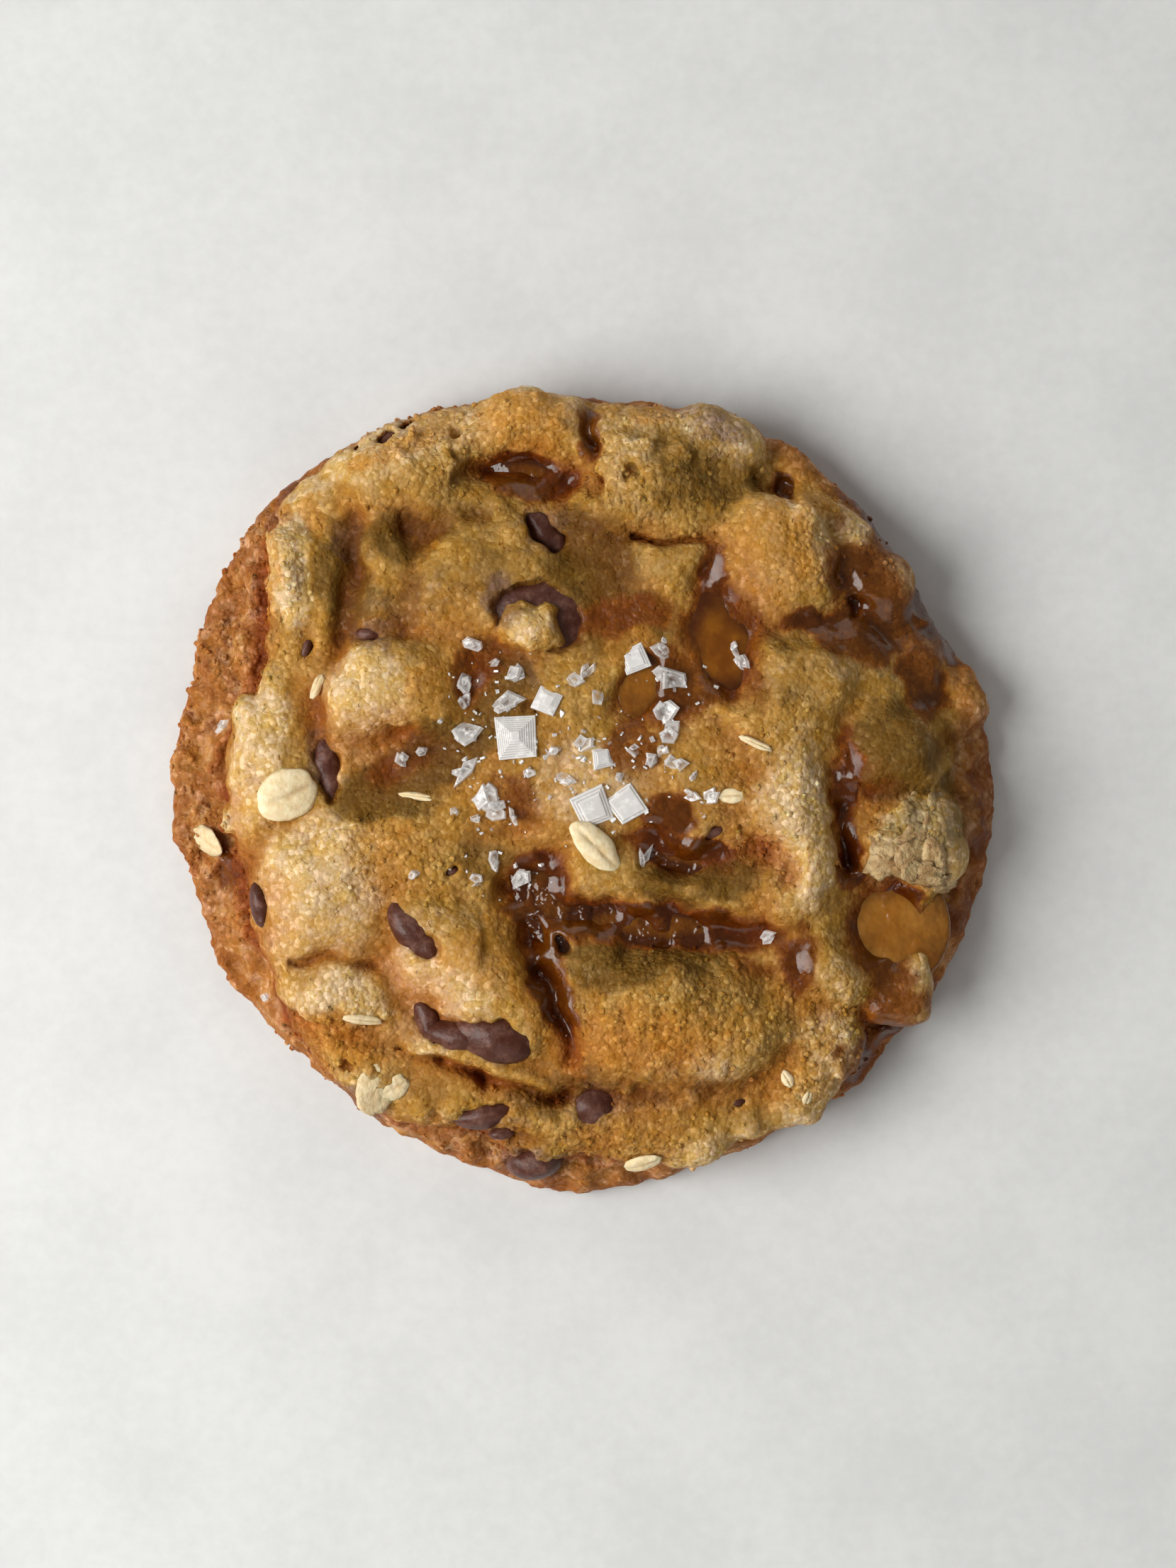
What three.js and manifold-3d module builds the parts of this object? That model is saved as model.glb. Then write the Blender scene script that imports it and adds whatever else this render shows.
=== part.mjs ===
// Oatmeal toffee cookie: a thick baked round of dough whose craggy crust laps over a wider base.
// Chocolate chips and pools of melted toffee are set into it, and rolled oats and salt flakes are baked on.
// Millimetres, +Z up. The origin is under the middle of the cookie, on the flat base that it rests on.

import * as THREE from "three";
import { mergeVertices } from "three/addons/utils/BufferGeometryUtils.js";
import Module from "manifold-3d";

// Heights of the baked round: the base's upper face, the underside of the crust's lip, the crust at its rim and crown
const BASE_TOP = 6.0;
const LIP_LEVEL = 8.0;
const CRUST_RIM = 12.0;
const CRUST_CROWN = 15.5;
// Reach from the middle, every 15 degrees from +X towards +Y: of the base, and of the crust that lies on it
const BASE_REACH = [
  49.8, 48.6, 47.3, 47.8, 47.6, 47.5, 47.4, 48.6, 50.0, 51.2, 50.6, 49.5,
  50.0, 48.7, 48.5, 46.6, 47.2, 47.3, 48.6, 47.4, 48.2, 49.2, 48.8, 49.4,
];
const CRUST_REACH = [
  45.0, 45.0, 43.5, 44.5, 45.5, 46.0, 46.4, 47.6, 48.2, 48.0, 44.2, 40.8,
  42.5, 42.3, 43.7, 44.4, 44.6, 43.4, 44.2, 45.2, 47.4, 45.8, 45.6, 45.4,
];
// How the edges turn: the share of the crust's reach where its lip starts to round over, and the lip's undercut
const LIP_START = 0.86;
const LIP_UNDERCUT = 1.4;
const FOOT_INSET = 2.2;
// Crags: the height and the width of the coarse and fine unevenness of the crust
const CRAGS = [
  { height: 0.55, width: 6.5 },
  { height: 0.35, width: 3.2 },
];
const EDGE_CRAG = 0.7;
// Rings of the surface from the middle outwards, ring k with 6 k points
const CRUST_RINGS = 24;
// Gap left between the dough and a piece set into it
const SET_GAP = 0.3;
// Softness of the creases where two lumps meet
const CREASE = 0.9;

// Lumps of the crust: middle, half-widths, turn in degrees, height of the crest, and the lump's own depth
const LUMPS = [
  { at: [-7, 43.5], half: [7.4, 5.4], turn: 0, crest: 16.0, depth: 6.5 },
  { at: [-17, 37.5], half: [8.5, 7.5], turn: 20, crest: 16.2, depth: 5 },
  { at: [-24.5, 29], half: [3.6, 10], turn: -8, crest: 16.0, depth: 5 },
  { at: [-33.5, 26.5], half: [4.6, 7.0], turn: 8, crest: 15.6, depth: 6 },
  { at: [-36.8, 4], half: [4.8, 11], turn: -9, crest: 15.2, depth: 6 },
  { at: [-22, 10.5], half: [8.5, 7.6], turn: 0, crest: 19.4, depth: 7 },
  { at: [-30, -12], half: [10.5, 10], turn: 0, crest: 17.6, depth: 6 },
  { at: [-33, -23], half: [6, 6], turn: 30, crest: 15.6, depth: 5 },
  { at: [-20, -6], half: [8, 6.5], turn: 0, crest: 17.6, depth: 4 },
  { at: [-14, -21.5], half: [13, 7.6], turn: -38, crest: 19.6, depth: 8 },
  { at: [-10, -32.2], half: [10.5, 3.4], turn: -8, crest: 15.8, depth: 5 },
  { at: [9.5, -27.5], half: [12.2, 8.4], turn: -6, crest: 19.8, depth: 8 },
  { at: [5, -39.3], half: [19, 5], turn: 0, crest: 14.2, depth: 5.5 },
  { at: [24, -6], half: [8, 11.4], turn: 6, crest: 20.4, depth: 8 },
  { at: [22.5, 10], half: [9, 8], turn: -20, crest: 19.0, depth: 6 },
  { at: [23.2, 27.6], half: [7, 8.6], turn: 8, crest: 19.2, depth: 8 },
  { at: [8, 34], half: [7.4, 5.6], turn: 0, crest: 17.0, depth: 5 },
  { at: [10.4, 26.8], half: [4.4, 3.2], turn: 0, crest: 17.2, depth: 4 },
  { at: [13, 41.5], half: [9, 5], turn: -15, crest: 15.0, depth: 5 },
  { at: [37.5, 4.6], half: [6, 5.4], turn: 0, crest: 17.0, depth: 6 },
  { at: [40, -7], half: [6.4, 6.4], turn: 0, crest: 16.2, depth: 6 },
  { at: [30, -22], half: [5.6, 6], turn: 0, crest: 16.6, depth: 5 },
  { at: [39.6, -21], half: [3.6, 4.4], turn: 0, crest: 14.6, depth: 5 },
  { at: [27.5, -34], half: [8, 5.4], turn: 42, crest: 15.4, depth: 5.5 },
  { at: [14, -11], half: [10.5, 4.2], turn: 0, crest: 17.8, depth: 4.5 },
  { at: [-2, 4], half: [9.5, 10], turn: 0, crest: 17.4, depth: 3.5 },
  { at: [37.4, 15], half: [3.6, 5], turn: 20, crest: 15.2, depth: 5 },
  { at: [-13, 26.5], half: [10, 5.6], turn: 8, crest: 17.0, depth: 4 },
  { at: [-6.4, 18.8], half: [4.4, 3.6], turn: 0, crest: 18.2, depth: 3.5 },
];
// Bead of dough that hangs over the rim
const RIM_BEAD = { at: [46, 11], half: [2.7, 3.6], turn: 0, crest: 12.2, depth: 4 };

// Creases and sunken runs of the crust, from point to point, with their half-width and depth
const CREASES = [
  { from: [-28, 33], to: [-28, 19], half: 2.2, depth: 2.4 },
  { from: [-28, 19], to: [-31.5, 1], half: 2.4, depth: 3.0 },
  { from: [-8, -7], to: [-5, -18], half: 2.6, depth: 3.4 },
  { from: [-5, -18], to: [0.5, -32], half: 1.8, depth: 4.4 },
  { from: [-4, -16], to: [26, -18.5], half: 2.2, depth: 3.0 },
  { from: [5, -5], to: [19, -8], half: 2.0, depth: 2.6 },
  { from: [31, 9], to: [32.5, -11], half: 1.9, depth: 4.6 },
  { from: [13, 25], to: [15, 12], half: 3.2, depth: 3.0 },
  { from: [12, 13], to: [3, 11], half: 3.4, depth: 2.6 },
  { from: [-12, 39.5], to: [-3, 37.5], half: 2.2, depth: 3.0 },
  { from: [15.4, 32], to: [16.6, 22], half: 1.6, depth: 3.2 },
  { from: [18, 19.6], to: [37, 20.4], half: 2.0, depth: 3.0 },
  { from: [-21, -31], to: [-2, -35.8], half: 1.3, depth: 2.6 },
  { from: [2, -35.6], to: [24, -29], half: 1.5, depth: 2.2 },
  { from: [22, 38.5], to: [26, 35.4], half: 1.7, depth: 3.6 },
  { from: [33, -13], to: [38, -24], half: 2.8, depth: 2.6 },
];

// Chocolate chips, partly sunk: middle, half-widths, turn, depth, and how far the top stands over the dough
const CHIPS = [
  { at: [-4, 30.5], half: [3.6, 1.9], turn: -46, depth: 2.4, proud: 0.7 },
  { at: [-4.6, 21.6], half: [5.0, 3.6], turn: -10, depth: 3.4, proud: 0.5 },
  { at: [-30.2, 2.6], half: [4.2, 2.0], turn: 100, depth: 2.6, proud: 0.7 },
  { at: [-19.8, -17.2], half: [3.6, 2.2], turn: -55, depth: 2.6, proud: 0.7 },
  { at: [-12.4, -29.3], half: [6.4, 2.6], turn: -16, depth: 3.0, proud: 0.9 },
  { at: [-11.4, -38.7], half: [3.0, 1.6], turn: 14, depth: 2.0, proud: 0.7 },
  { at: [2.3, -37.6], half: [2.6, 2.4], turn: 0, depth: 2.4, proud: 0.8 },
  { at: [-5.2, -45.2], half: [2.5, 1.9], turn: 10, depth: 2.0, proud: 0.8 },
  { at: [-38.6, -13.8], half: [2.4, 1.3], turn: 105, depth: 1.8, proud: 0.6 },
];
// Pools of melted toffee in the hollows, with the same measures
const TOFFEE_POOLS = [
  { at: [15.2, 17.6], half: [6.4, 3.5], turn: 100, depth: 3.0, proud: 0.9 },
  { at: [5.6, 12.6], half: [4.4, 3.4], turn: 70, depth: 2.6, proud: 0.8 },
  { at: [-3.4, -13.6], half: [5.4, 3.0], turn: 110, depth: 2.8, proud: 0.9 },
  { at: [9.6, -17.0], half: [8.4, 1.8], turn: -4, depth: 2.2, proud: 0.7 },
  { at: [13.8, -6.9], half: [5.4, 1.8], turn: -12, depth: 2.2, proud: 0.8 },
  { at: [36.2, -16.6], half: [5.6, 3.4], turn: 112, depth: 3.0, proud: 0.9 },
  { at: [-6.6, 38.2], half: [4.0, 1.5], turn: -8, depth: 2.0, proud: 0.6 },
];

// Rolled oats lying on the crust and the base: middle, half-widths, turn and lean in degrees
const OAT_THICKNESS = 1.3;
const OATS = [
  { at: [-35, -0.8], half: [3.7, 2.9], turn: 24, lean: 0 },
  { at: [0.9, -7.0], half: [3.7, 2.3], turn: -42, lean: 0 },
  { at: [-25.6, -36.6], half: [3.0, 2.4], turn: 40, lean: 10 },
  { at: [-45.0, -6.4], half: [2.8, 1.6], turn: -14, lean: 0 },
  { at: [38.6, -4.6], half: [2.7, 2.2], turn: 30, lean: 18 },
  { at: [42.2, -5.2], half: [3.6, 2.0], turn: 80, lean: -24 },
  { at: [39.6, -9.8], half: [3.2, 2.0], turn: 10, lean: 16 },
  { at: [17.6, -0.9], half: [1.6, 0.8], turn: 0, lean: 0 },
  { at: [7.6, -45.0], half: [2.0, 1.1], turn: 24, lean: 0 },
  { at: [-13.6, -15.0], half: [1.4, 1.0], turn: 50, lean: 0 },
];

// Salt flakes, hollow-sided pyramids in life: middle, length of a side, turn in degrees
const SALT_SLOPE = 0.42;
const SALT_FLAKES = [
  { at: [-7.8, 6.3], side: 4.7, turn: 8 },
  { at: [1.9, -2.3], side: 4.0, turn: 22 },
  { at: [5.6, -1.2], side: 3.6, turn: 30 },
  { at: [-13.3, 7.0], side: 3.4, turn: 12 },
  { at: [-4.2, 10.6], side: 3.0, turn: -20 },
  { at: [-13.9, 2.4], side: 2.6, turn: 30 },
  { at: [0.8, 5.2], side: 2.0, turn: 50 },
  { at: [10.6, 3.0], side: 3.0, turn: 20 },
  { at: [-11.2, -1.4], side: 3.4, turn: 40 },
  { at: [-13.6, 12.0], side: 2.6, turn: 15 },
  { at: [-8.2, 13.4], side: 2.2, turn: 65 },
  { at: [-21.8, 3.6], side: 2.2, turn: 40 },
  { at: [14.4, -0.8], side: 2.2, turn: 35 },
];

const DOUGH_FINISH = { color: 0xb5803f, roughness: 0.85, metalness: 0 };
const CHOCOLATE_FINISH = { color: 0x4d271b, roughness: 0.45, metalness: 0 };
const TOFFEE_FINISH = { color: 0x8a4f12, roughness: 0.15, metalness: 0 };

const wasm = await Module();
wasm.setup();

// A closed geometry as a solid that can be cut and joined
function solidOf(geometry) {
  const bare = geometry.clone();
  bare.deleteAttribute("normal");
  bare.deleteAttribute("uv");
  const merged = mergeVertices(bare, 1e-4);
  return new wasm.Manifold(
    new wasm.Mesh({
      numProp: 3,
      vertProperties: merged.attributes.position.array,
      triVerts: new Uint32Array(merged.index.array),
    }),
  );
}

function geometryOf(solid) {
  const made = solid.getMesh();
  const geometry = new THREE.BufferGeometry();
  geometry.setAttribute("position", new THREE.BufferAttribute(made.vertProperties, 3));
  geometry.setIndex(new THREE.BufferAttribute(made.triVerts, 1));
  geometry.computeVertexNormals();
  return geometry;
}

// Value at an angle of a measure that is given at even steps all the way round
function reachAt(table, angle) {
  const turns = angle / (2 * Math.PI);
  const place = (turns - Math.floor(turns)) * table.length;
  const step = Math.floor(place);
  const [a, b, c, d] = [-1, 0, 1, 2].map((k) => table[(step + k + table.length) % table.length]);
  const t = place - step;
  return b + 0.5 * t * (c - a + t * (2 * a - 5 * b + 4 * c - d + t * (3 * (b - c) + d - a)));
}

// Repeatable noise between -1 and 1 on a unit lattice, eased between its corners
function latticeNoise(x, y) {
  const corner = (i, j) => {
    const wave = Math.sin(i * 127.1 + j * 311.7) * 43758.5453;
    return 2 * (wave - Math.floor(wave)) - 1;
  };
  const [i, j] = [Math.floor(x), Math.floor(y)];
  const ease = (t) => t * t * (3 - 2 * t);
  const [u, v] = [ease(x - i), ease(y - j)];
  const low = corner(i, j) * (1 - u) + corner(i + 1, j) * u;
  const high = corner(i, j + 1) * (1 - u) + corner(i + 1, j + 1) * u;
  return low * (1 - v) + high * v;
}

function crags(x, y) {
  return CRAGS.reduce((sum, { height, width }) => sum + height * latticeNoise(x / width, y / width), 0);
}

// The larger of two heights, with the crease between them eased
function easedMax(a, b) {
  const blend = Math.max(CREASE - Math.abs(a - b), 0) / CREASE;
  return Math.max(a, b) + 0.25 * CREASE * blend * blend;
}

function lumpHeight({ at, half, turn, crest, depth }, x, y) {
  const angle = THREE.MathUtils.degToRad(turn);
  const [dx, dy] = [x - at[0], y - at[1]];
  const along = (dx * Math.cos(angle) + dy * Math.sin(angle)) / half[0];
  const across = (dy * Math.cos(angle) - dx * Math.sin(angle)) / half[1];
  const inside = 1 - along * along - across * across;
  return inside > 0 ? crest - depth + depth * Math.sqrt(inside) : 0;
}

function creaseDepth({ from, to, half, depth }, x, y) {
  const line = new THREE.Line3(new THREE.Vector3(...from, 0), new THREE.Vector3(...to, 0));
  const point = new THREE.Vector3(x, y, 0);
  const away = line.closestPointToPoint(point, true, new THREE.Vector3()).distanceTo(point) / half;
  return depth * Math.exp(-away * away);
}

// Height of the crust, as if it ran on without an edge
function crustHeight(x, y) {
  const share = Math.hypot(x, y) / CRUST_REACH[0];
  const dome = CRUST_RIM + (CRUST_CROWN - CRUST_RIM) * (1 - share * share);
  const lumped = LUMPS.reduce((height, lump) => easedMax(height, lumpHeight(lump, x, y)), dome);
  const creased = CREASES.reduce((height, crease) => height - creaseDepth(crease, x, y), lumped);
  return creased + crags(x, y);
}

// Height of whatever is uppermost, with the crust's lip rounded over and the base outside it
function surfaceHeight(x, y) {
  const share = Math.hypot(x, y) / reachAt(CRUST_REACH, Math.atan2(y, x));
  if (share >= 1) return BASE_TOP + 0.5 * crags(x, y);
  const over = Math.max(share - LIP_START, 0) / (1 - LIP_START);
  const top = Math.max(crustHeight(x, y), LIP_LEVEL + 1);
  return LIP_LEVEL + (top - LIP_LEVEL) * Math.sqrt(1 - over * over);
}

// The edge below the lip, from the undercut out over the base and down to the foot:
// each stop gives its share of the way from the crust's reach to the base's reach, an inset, and a height
const EDGE_STOPS = [
  { out: 0, inset: LIP_UNDERCUT * 0.4, level: LIP_LEVEL - 0.9 },
  { out: 0, inset: LIP_UNDERCUT, level: BASE_TOP + 0.1 },
  { out: 0.45, inset: 0.2, level: BASE_TOP },
  { out: 0.85, inset: 0, level: BASE_TOP - 0.5 },
  { out: 1, inset: 0.1, level: BASE_TOP * 0.62 },
  { out: 1, inset: 0, level: BASE_TOP * 0.34 },
  { out: 1, inset: FOOT_INSET * 0.4, level: 0.7 },
  { out: 1, inset: FOOT_INSET, level: 0 },
];

// A point of the skin: rings up to the lip follow the crust, and the rest follow the edge stops
function skinPoint(ring, angle) {
  const crust = reachAt(CRUST_REACH, angle);
  const direction = new THREE.Vector2(Math.cos(angle), Math.sin(angle));
  if (ring <= CRUST_RINGS) {
    const flat = direction.multiplyScalar((crust * ring) / CRUST_RINGS);
    return new THREE.Vector3(flat.x, flat.y, surfaceHeight(flat.x, flat.y));
  }
  const stop = EDGE_STOPS[ring - CRUST_RINGS - 1];
  const base = Math.max(reachAt(BASE_REACH, angle), crust + 0.6);
  const crag = EDGE_CRAG * latticeNoise(angle * 14, stop.level * 0.5);
  const reach = crust + (base - crust) * stop.out - stop.inset + crag * stop.out;
  return new THREE.Vector3(direction.x * reach, direction.y * reach, stop.level);
}

// The dough's skin: rings of 6 k points round the middle, closed below by a flat foot
function doughGeometry() {
  const points = [skinPoint(0, 0)];
  const faces = [];
  const rings = CRUST_RINGS + EDGE_STOPS.length;
  const firstOf = (ring) => (ring === 0 ? 0 : 1 + 3 * ring * (ring - 1));
  const indexOf = (ring, place) => firstOf(ring) + (ring === 0 ? 0 : place % (6 * ring));
  for (let ring = 1; ring <= rings; ring++) {
    for (let place = 0; place < 6 * ring; place++) {
      points.push(skinPoint(ring, (2 * Math.PI * place) / (6 * ring)));
    }
    for (let side = 0; side < 6; side++) {
      for (let step = 0; step < ring; step++) {
        const outer = side * ring + step;
        const inner = side * (ring - 1) + step;
        faces.push(indexOf(ring - 1, inner), indexOf(ring, outer), indexOf(ring, outer + 1));
        if (step < ring - 1) {
          faces.push(indexOf(ring - 1, inner), indexOf(ring, outer + 1), indexOf(ring - 1, inner + 1));
        }
      }
    }
  }
  const middle = points.push(new THREE.Vector3(0, 0, 0)) - 1;
  for (let place = 0; place < 6 * rings; place++) {
    faces.push(indexOf(rings, place), middle, indexOf(rings, place + 1));
  }
  return new THREE.BufferGeometry().setFromPoints(points).setIndex(faces);
}

// Puts a shape, made round the origin with +Z up, on the surface and leans it with the slope there
function layOnSurface(geometry, [x, y], turn, lift, lean = 0) {
  const reach = 1.2;
  const slopeX = (surfaceHeight(x + reach, y) - surfaceHeight(x - reach, y)) / (2 * reach);
  const slopeY = (surfaceHeight(x, y + reach) - surfaceHeight(x, y - reach)) / (2 * reach);
  const normal = new THREE.Vector3(-slopeX, -slopeY, 1).normalize();
  const upright = new THREE.Vector3(0, 0, 1);
  geometry.rotateX(THREE.MathUtils.degToRad(lean));
  geometry.rotateZ(THREE.MathUtils.degToRad(turn));
  geometry.applyQuaternion(new THREE.Quaternion().setFromUnitVectors(upright, normal));
  return geometry.translate(x, y, surfaceHeight(x, y) + lift);
}

// An egg-shaped piece sunk in the dough, grown by a gap when it stands for the pocket that holds it
function sunkenPiece({ at, half, turn, depth, proud }, grow = 0) {
  const egg = new THREE.SphereGeometry(1, 12, 7);
  egg.rotateX(Math.PI / 2);
  egg.scale(half[0] + grow, half[1] + grow, depth + grow);
  egg.rotateZ(THREE.MathUtils.degToRad(turn));
  return egg.translate(at[0], at[1], surfaceHeight(...at) + proud - depth);
}

function beadGeometry({ at, half, turn, crest, depth }) {
  const bead = new THREE.SphereGeometry(1, 12, 7);
  bead.rotateX(Math.PI / 2);
  bead.scale(half[0], half[1], depth);
  bead.rotateZ(THREE.MathUtils.degToRad(turn));
  return bead.translate(at[0], at[1], crest - depth);
}

function oatGeometry({ at, half, turn, lean }) {
  const flake = new THREE.SphereGeometry(1, 10, 4);
  flake.rotateX(Math.PI / 2);
  flake.scale(half[0], half[1], OAT_THICKNESS / 2);
  return layOnSurface(flake, at, turn, 0.25, lean);
}

function saltGeometry({ at, side, turn }) {
  const height = side * SALT_SLOPE + 0.8;
  const pyramid = new THREE.CylinderGeometry(side * 0.14, side * Math.SQRT1_2, height, 4);
  pyramid.rotateX(Math.PI / 2);
  return layOnSurface(pyramid, at, turn + 45, height / 2 - 0.8);
}

function largestBody(solid) {
  return solid.decompose().reduce((a, b) => (a.volume() > b.volume() ? a : b));
}

// The dough with its pockets cut and its oats and salt fused on
function bakedDough() {
  const sunken = [...CHIPS, ...TOFFEE_POOLS];
  const pockets = sunken.map((piece) => solidOf(sunkenPiece(piece, SET_GAP)));
  const flakes = [...OATS.map(oatGeometry), ...SALT_FLAKES.map(saltGeometry), beadGeometry(RIM_BEAD)];
  const whole = flakes.reduce((dough, flake) => dough.add(solidOf(flake)), solidOf(doughGeometry()));
  return largestBody(pockets.reduce((dough, pocket) => dough.subtract(pocket), whole));
}

function meshOf(name, geometry, finish) {
  const mesh = new THREE.Mesh(geometry, new THREE.MeshStandardMaterial(finish));
  mesh.name = name;
  return mesh;
}

const cookie = new THREE.Group();
cookie.add(meshOf("dough", geometryOf(bakedDough()), DOUGH_FINISH));
CHIPS.forEach((chip, i) => cookie.add(meshOf(`chip_${i + 1}`, sunkenPiece(chip), CHOCOLATE_FINISH)));
TOFFEE_POOLS.forEach((pool, i) => cookie.add(meshOf(`toffee_${i + 1}`, sunkenPiece(pool), TOFFEE_FINISH)));

export default cookie;
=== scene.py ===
"""Looks of the oatmeal toffee cookie: crust, chocolate, toffee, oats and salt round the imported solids."""

import math

import bmesh
import bpy
import numpy as np
from mathutils import Matrix, Vector


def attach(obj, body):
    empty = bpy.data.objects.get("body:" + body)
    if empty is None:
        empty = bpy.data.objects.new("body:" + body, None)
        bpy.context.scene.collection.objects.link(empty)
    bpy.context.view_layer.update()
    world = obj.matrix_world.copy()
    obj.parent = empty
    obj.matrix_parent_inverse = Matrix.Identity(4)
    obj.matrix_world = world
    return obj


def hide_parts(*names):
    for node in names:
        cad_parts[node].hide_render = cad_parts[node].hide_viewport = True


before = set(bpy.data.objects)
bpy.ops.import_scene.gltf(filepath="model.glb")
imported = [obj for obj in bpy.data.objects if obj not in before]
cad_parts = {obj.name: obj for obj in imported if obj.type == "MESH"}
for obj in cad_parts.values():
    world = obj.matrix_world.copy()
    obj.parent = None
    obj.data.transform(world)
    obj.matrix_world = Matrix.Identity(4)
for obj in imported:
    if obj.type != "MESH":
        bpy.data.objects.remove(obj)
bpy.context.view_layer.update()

# Measures are in millimetres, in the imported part's frame, and become metres when a mesh is made
MM = 0.001
BASE_TOP = 6.2
CRUST_RIM = 12.2
CRUST_FLOOR = 3.4
CRUST_CROWN = 15.9
BASE_ROUND = 2.7
CRUST_ROUND = 3.6
FOOT_DROP = 1.3
LUMP_BLEND = 1.5
LUMP_SQUARE = 2.2
POCKET_BLEND = 0.4
# Small clods on the crust: how many places are tried and how far out, the margin that they keep from the
# base's outline, their smallest and largest half-width, how they are stretched across, along and upwards,
# and how far they are sunk, as a share of their height
CLOD_TRIES = 500
CLOD_FIELD = 47
CLOD_MARGIN = 3.4
CLOD_SIZES = (0.8, 1.9)
CLOD_SHAPE = (1.0, 1.3, 0.65)
CLOD_SUNK = 0.45
CLOD_BLEND = 0.5
# The crust's unevenness: height, what crumbly dough adds to it, size and seed
ROUGHNESS = [(0.45, 0.1, 5.0, 12), (0.18, 0.14, 2.4, 13), (0.08, 0.2, 1.3, 14)]
CRUMB_SIZE = 1.5
BED_WIDTH = 0.9
# The lattice that the dough is shaped on: the distance between its points, and its lowest and highest corner
LATTICE_STEP = 0.42
LATTICE_LOW = (-53.2, -51.2, 0.0)
LATTICE_HIGH = (53.2, 51.2, 22.4)
# Soft noise that moves outlines aside: amount, size, and seeds for x and for y
LUMP_SWAY = [(2.0, 10, 1, 3), (1.3, 4.4, 2, 4)]
POCKET_SWAY = [(1.0, 2.6, 16, 17), (0.4, 1.2, 18, 19)]

# Reach from the middle every 15 degrees from +X towards +Y: of the base, and of the crust that lies on it
BASE_REACH = [
    50.3, 48.8, 47.3, 47.8, 47.6, 47.5, 47.4, 48.6, 50.0, 51.2, 50.6, 49.5,
    50.0, 48.7, 48.5, 46.6, 47.2, 47.9, 49.3, 48.0, 48.2, 49.2, 49.1, 50.0,
]
CRUST_REACH = [
    45.0, 46.6, 46.2, 46.6, 46.6, 46.8, 46.8, 48.0, 49.2, 50.2, 43.6, 40.6,
    42.5, 41.3, 42.0, 45.6, 45.8, 42.6, 42.8, 45.0, 46.6, 44.0, 45.2, 45.8,
]
# How far the crust slopes down to its rim, at the same angles
RIM_FALL = [
    2.0, 6.0, 7.5, 7.5, 6.0, 2.5, 0.0, 0.0, 0.0, 0.0, 0.0, 0.0,
    0.0, 0.0, 0.0, 0.0, 0.0, 0.0, 0.0, 1.0, 3.0, 4.0, 3.0, 2.0,
]

# Lumps of the crust: middle x and y, half-widths, turn in degrees, height of the crest, rise over the dough
# round it, and how far the lump goes on below, in rises: a small number gives it steep sides
LUMPS = [
    (-7, 44.0, 7.2, 4.6, 0, 15.0, 4.2, 1.2),
    (-18.5, 37.5, 10.5, 6.0, 25, 15.0, 2.5, 2.2),
    (-13, 25.5, 10, 7.5, 15, 16.2, 2.2, 2.4),
    (-24, 25.5, 2.6, 7.0, -8, 14.6, 1.6, 1.6),
    (-29.8, 24.5, 2.2, 6.2, 0, 14.2, 1.6, 1.6),
    (-34.2, 25.2, 3.4, 6.6, 4, 15.2, 3.8, 1.3),
    (-37.3, 4.5, 4.0, 11, -12, 14.8, 3.6, 1.5),
    (-21.8, 11.6, 8.8, 6.6, 0, 18.0, 3.8, 1.5),
    (-30, -12, 8.4, 10, 0, 16.8, 3.2, 2.0),
    (-28.5, -24.2, 6.5, 3.8, -8, 15.8, 2.2, 1.6),
    (-33.8, -20.8, 3.0, 6, 20, 13.8, 3.0, 1.5),
    (-21, -7, 9, 6, 0, 16.4, 1.4, 2.6),
    (-13.6, -21.2, 13.0, 6.2, -44, 18.1, 3.9, 1.45),
    (-27.5, -31.3, 8, 3.4, -35, 13.6, 3.0, 1.4),
    (-12.6, -32.9, 10, 2.5, -10, 15.6, 3.2, 1.2),
    (9.8, -26.8, 13.4, 9.4, -4, 17.4, 3.3, 2.0),
    (6, -39.3, 18, 4.6, 0, 13.0, 3.0, 1.5),
    (24.8, -3.5, 5.9, 13, 4, 18.2, 3.6, 1.8),
    (22.5, 10, 9, 7.4, -20, 18.0, 3.4, 1.9),
    (16, 1, 8, 6, 0, 16.4, 1.4, 2.4),
    (23.0, 28.0, 7.0, 8.0, 8, 16.0, 3.0, 1.6),
    (7, 35, 8.4, 5.4, 0, 15.8, 2.0, 2.0),
    (10.4, 26.6, 4.2, 3.0, 0, 16.0, 1.6, 1.5),
    (14, 40.5, 9, 5, -18, 12.7, 2.4, 2.0),
    (28.6, 36.4, 7.5, 2.6, -44, 7.8, 1.6, 1.8),
    (36.9, 4.6, 5.0, 5.3, 0, 16.4, 3.6, 1.4),
    (39.8, -6.2, 6.2, 6.0, 0, 16.2, 4.2, 1.3),
    (29.5, -21, 5.4, 5.0, 0, 15.2, 2.4, 1.7),
    (38.6, -24.2, 3.8, 3.6, 30, 12.2, 1.5, 2.0),
    (27.5, -33.0, 8.6, 5.0, 46, 13.0, 2.8, 1.5),
    (15, -4.6, 7.0, 1.9, -9, 16.6, 1.6, 1.5),
    (12.5, -11.8, 9, 2.5, -5, 16.4, 2.0, 1.5),
    (-2, 4, 11, 10, 0, 16.2, 1.4, 2.6),
    (37.6, 16, 3.0, 4.2, 20, 10.6, 1.3, 1.5),
    (44.8, 10.8, 2.4, 4.0, 24, 8.4, 1.6, 2.2),
    (32.6, 26, 4.4, 8, 32, 12.4, 1.6, 2.4),
    (37.4, -8.2, 2.2, 2.6, 10, 16.8, 1.5, 1.2),
    (35.2, -10.4, 2.6, 1.6, 0, 15.6, 1.6, 1.2),
]
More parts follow.
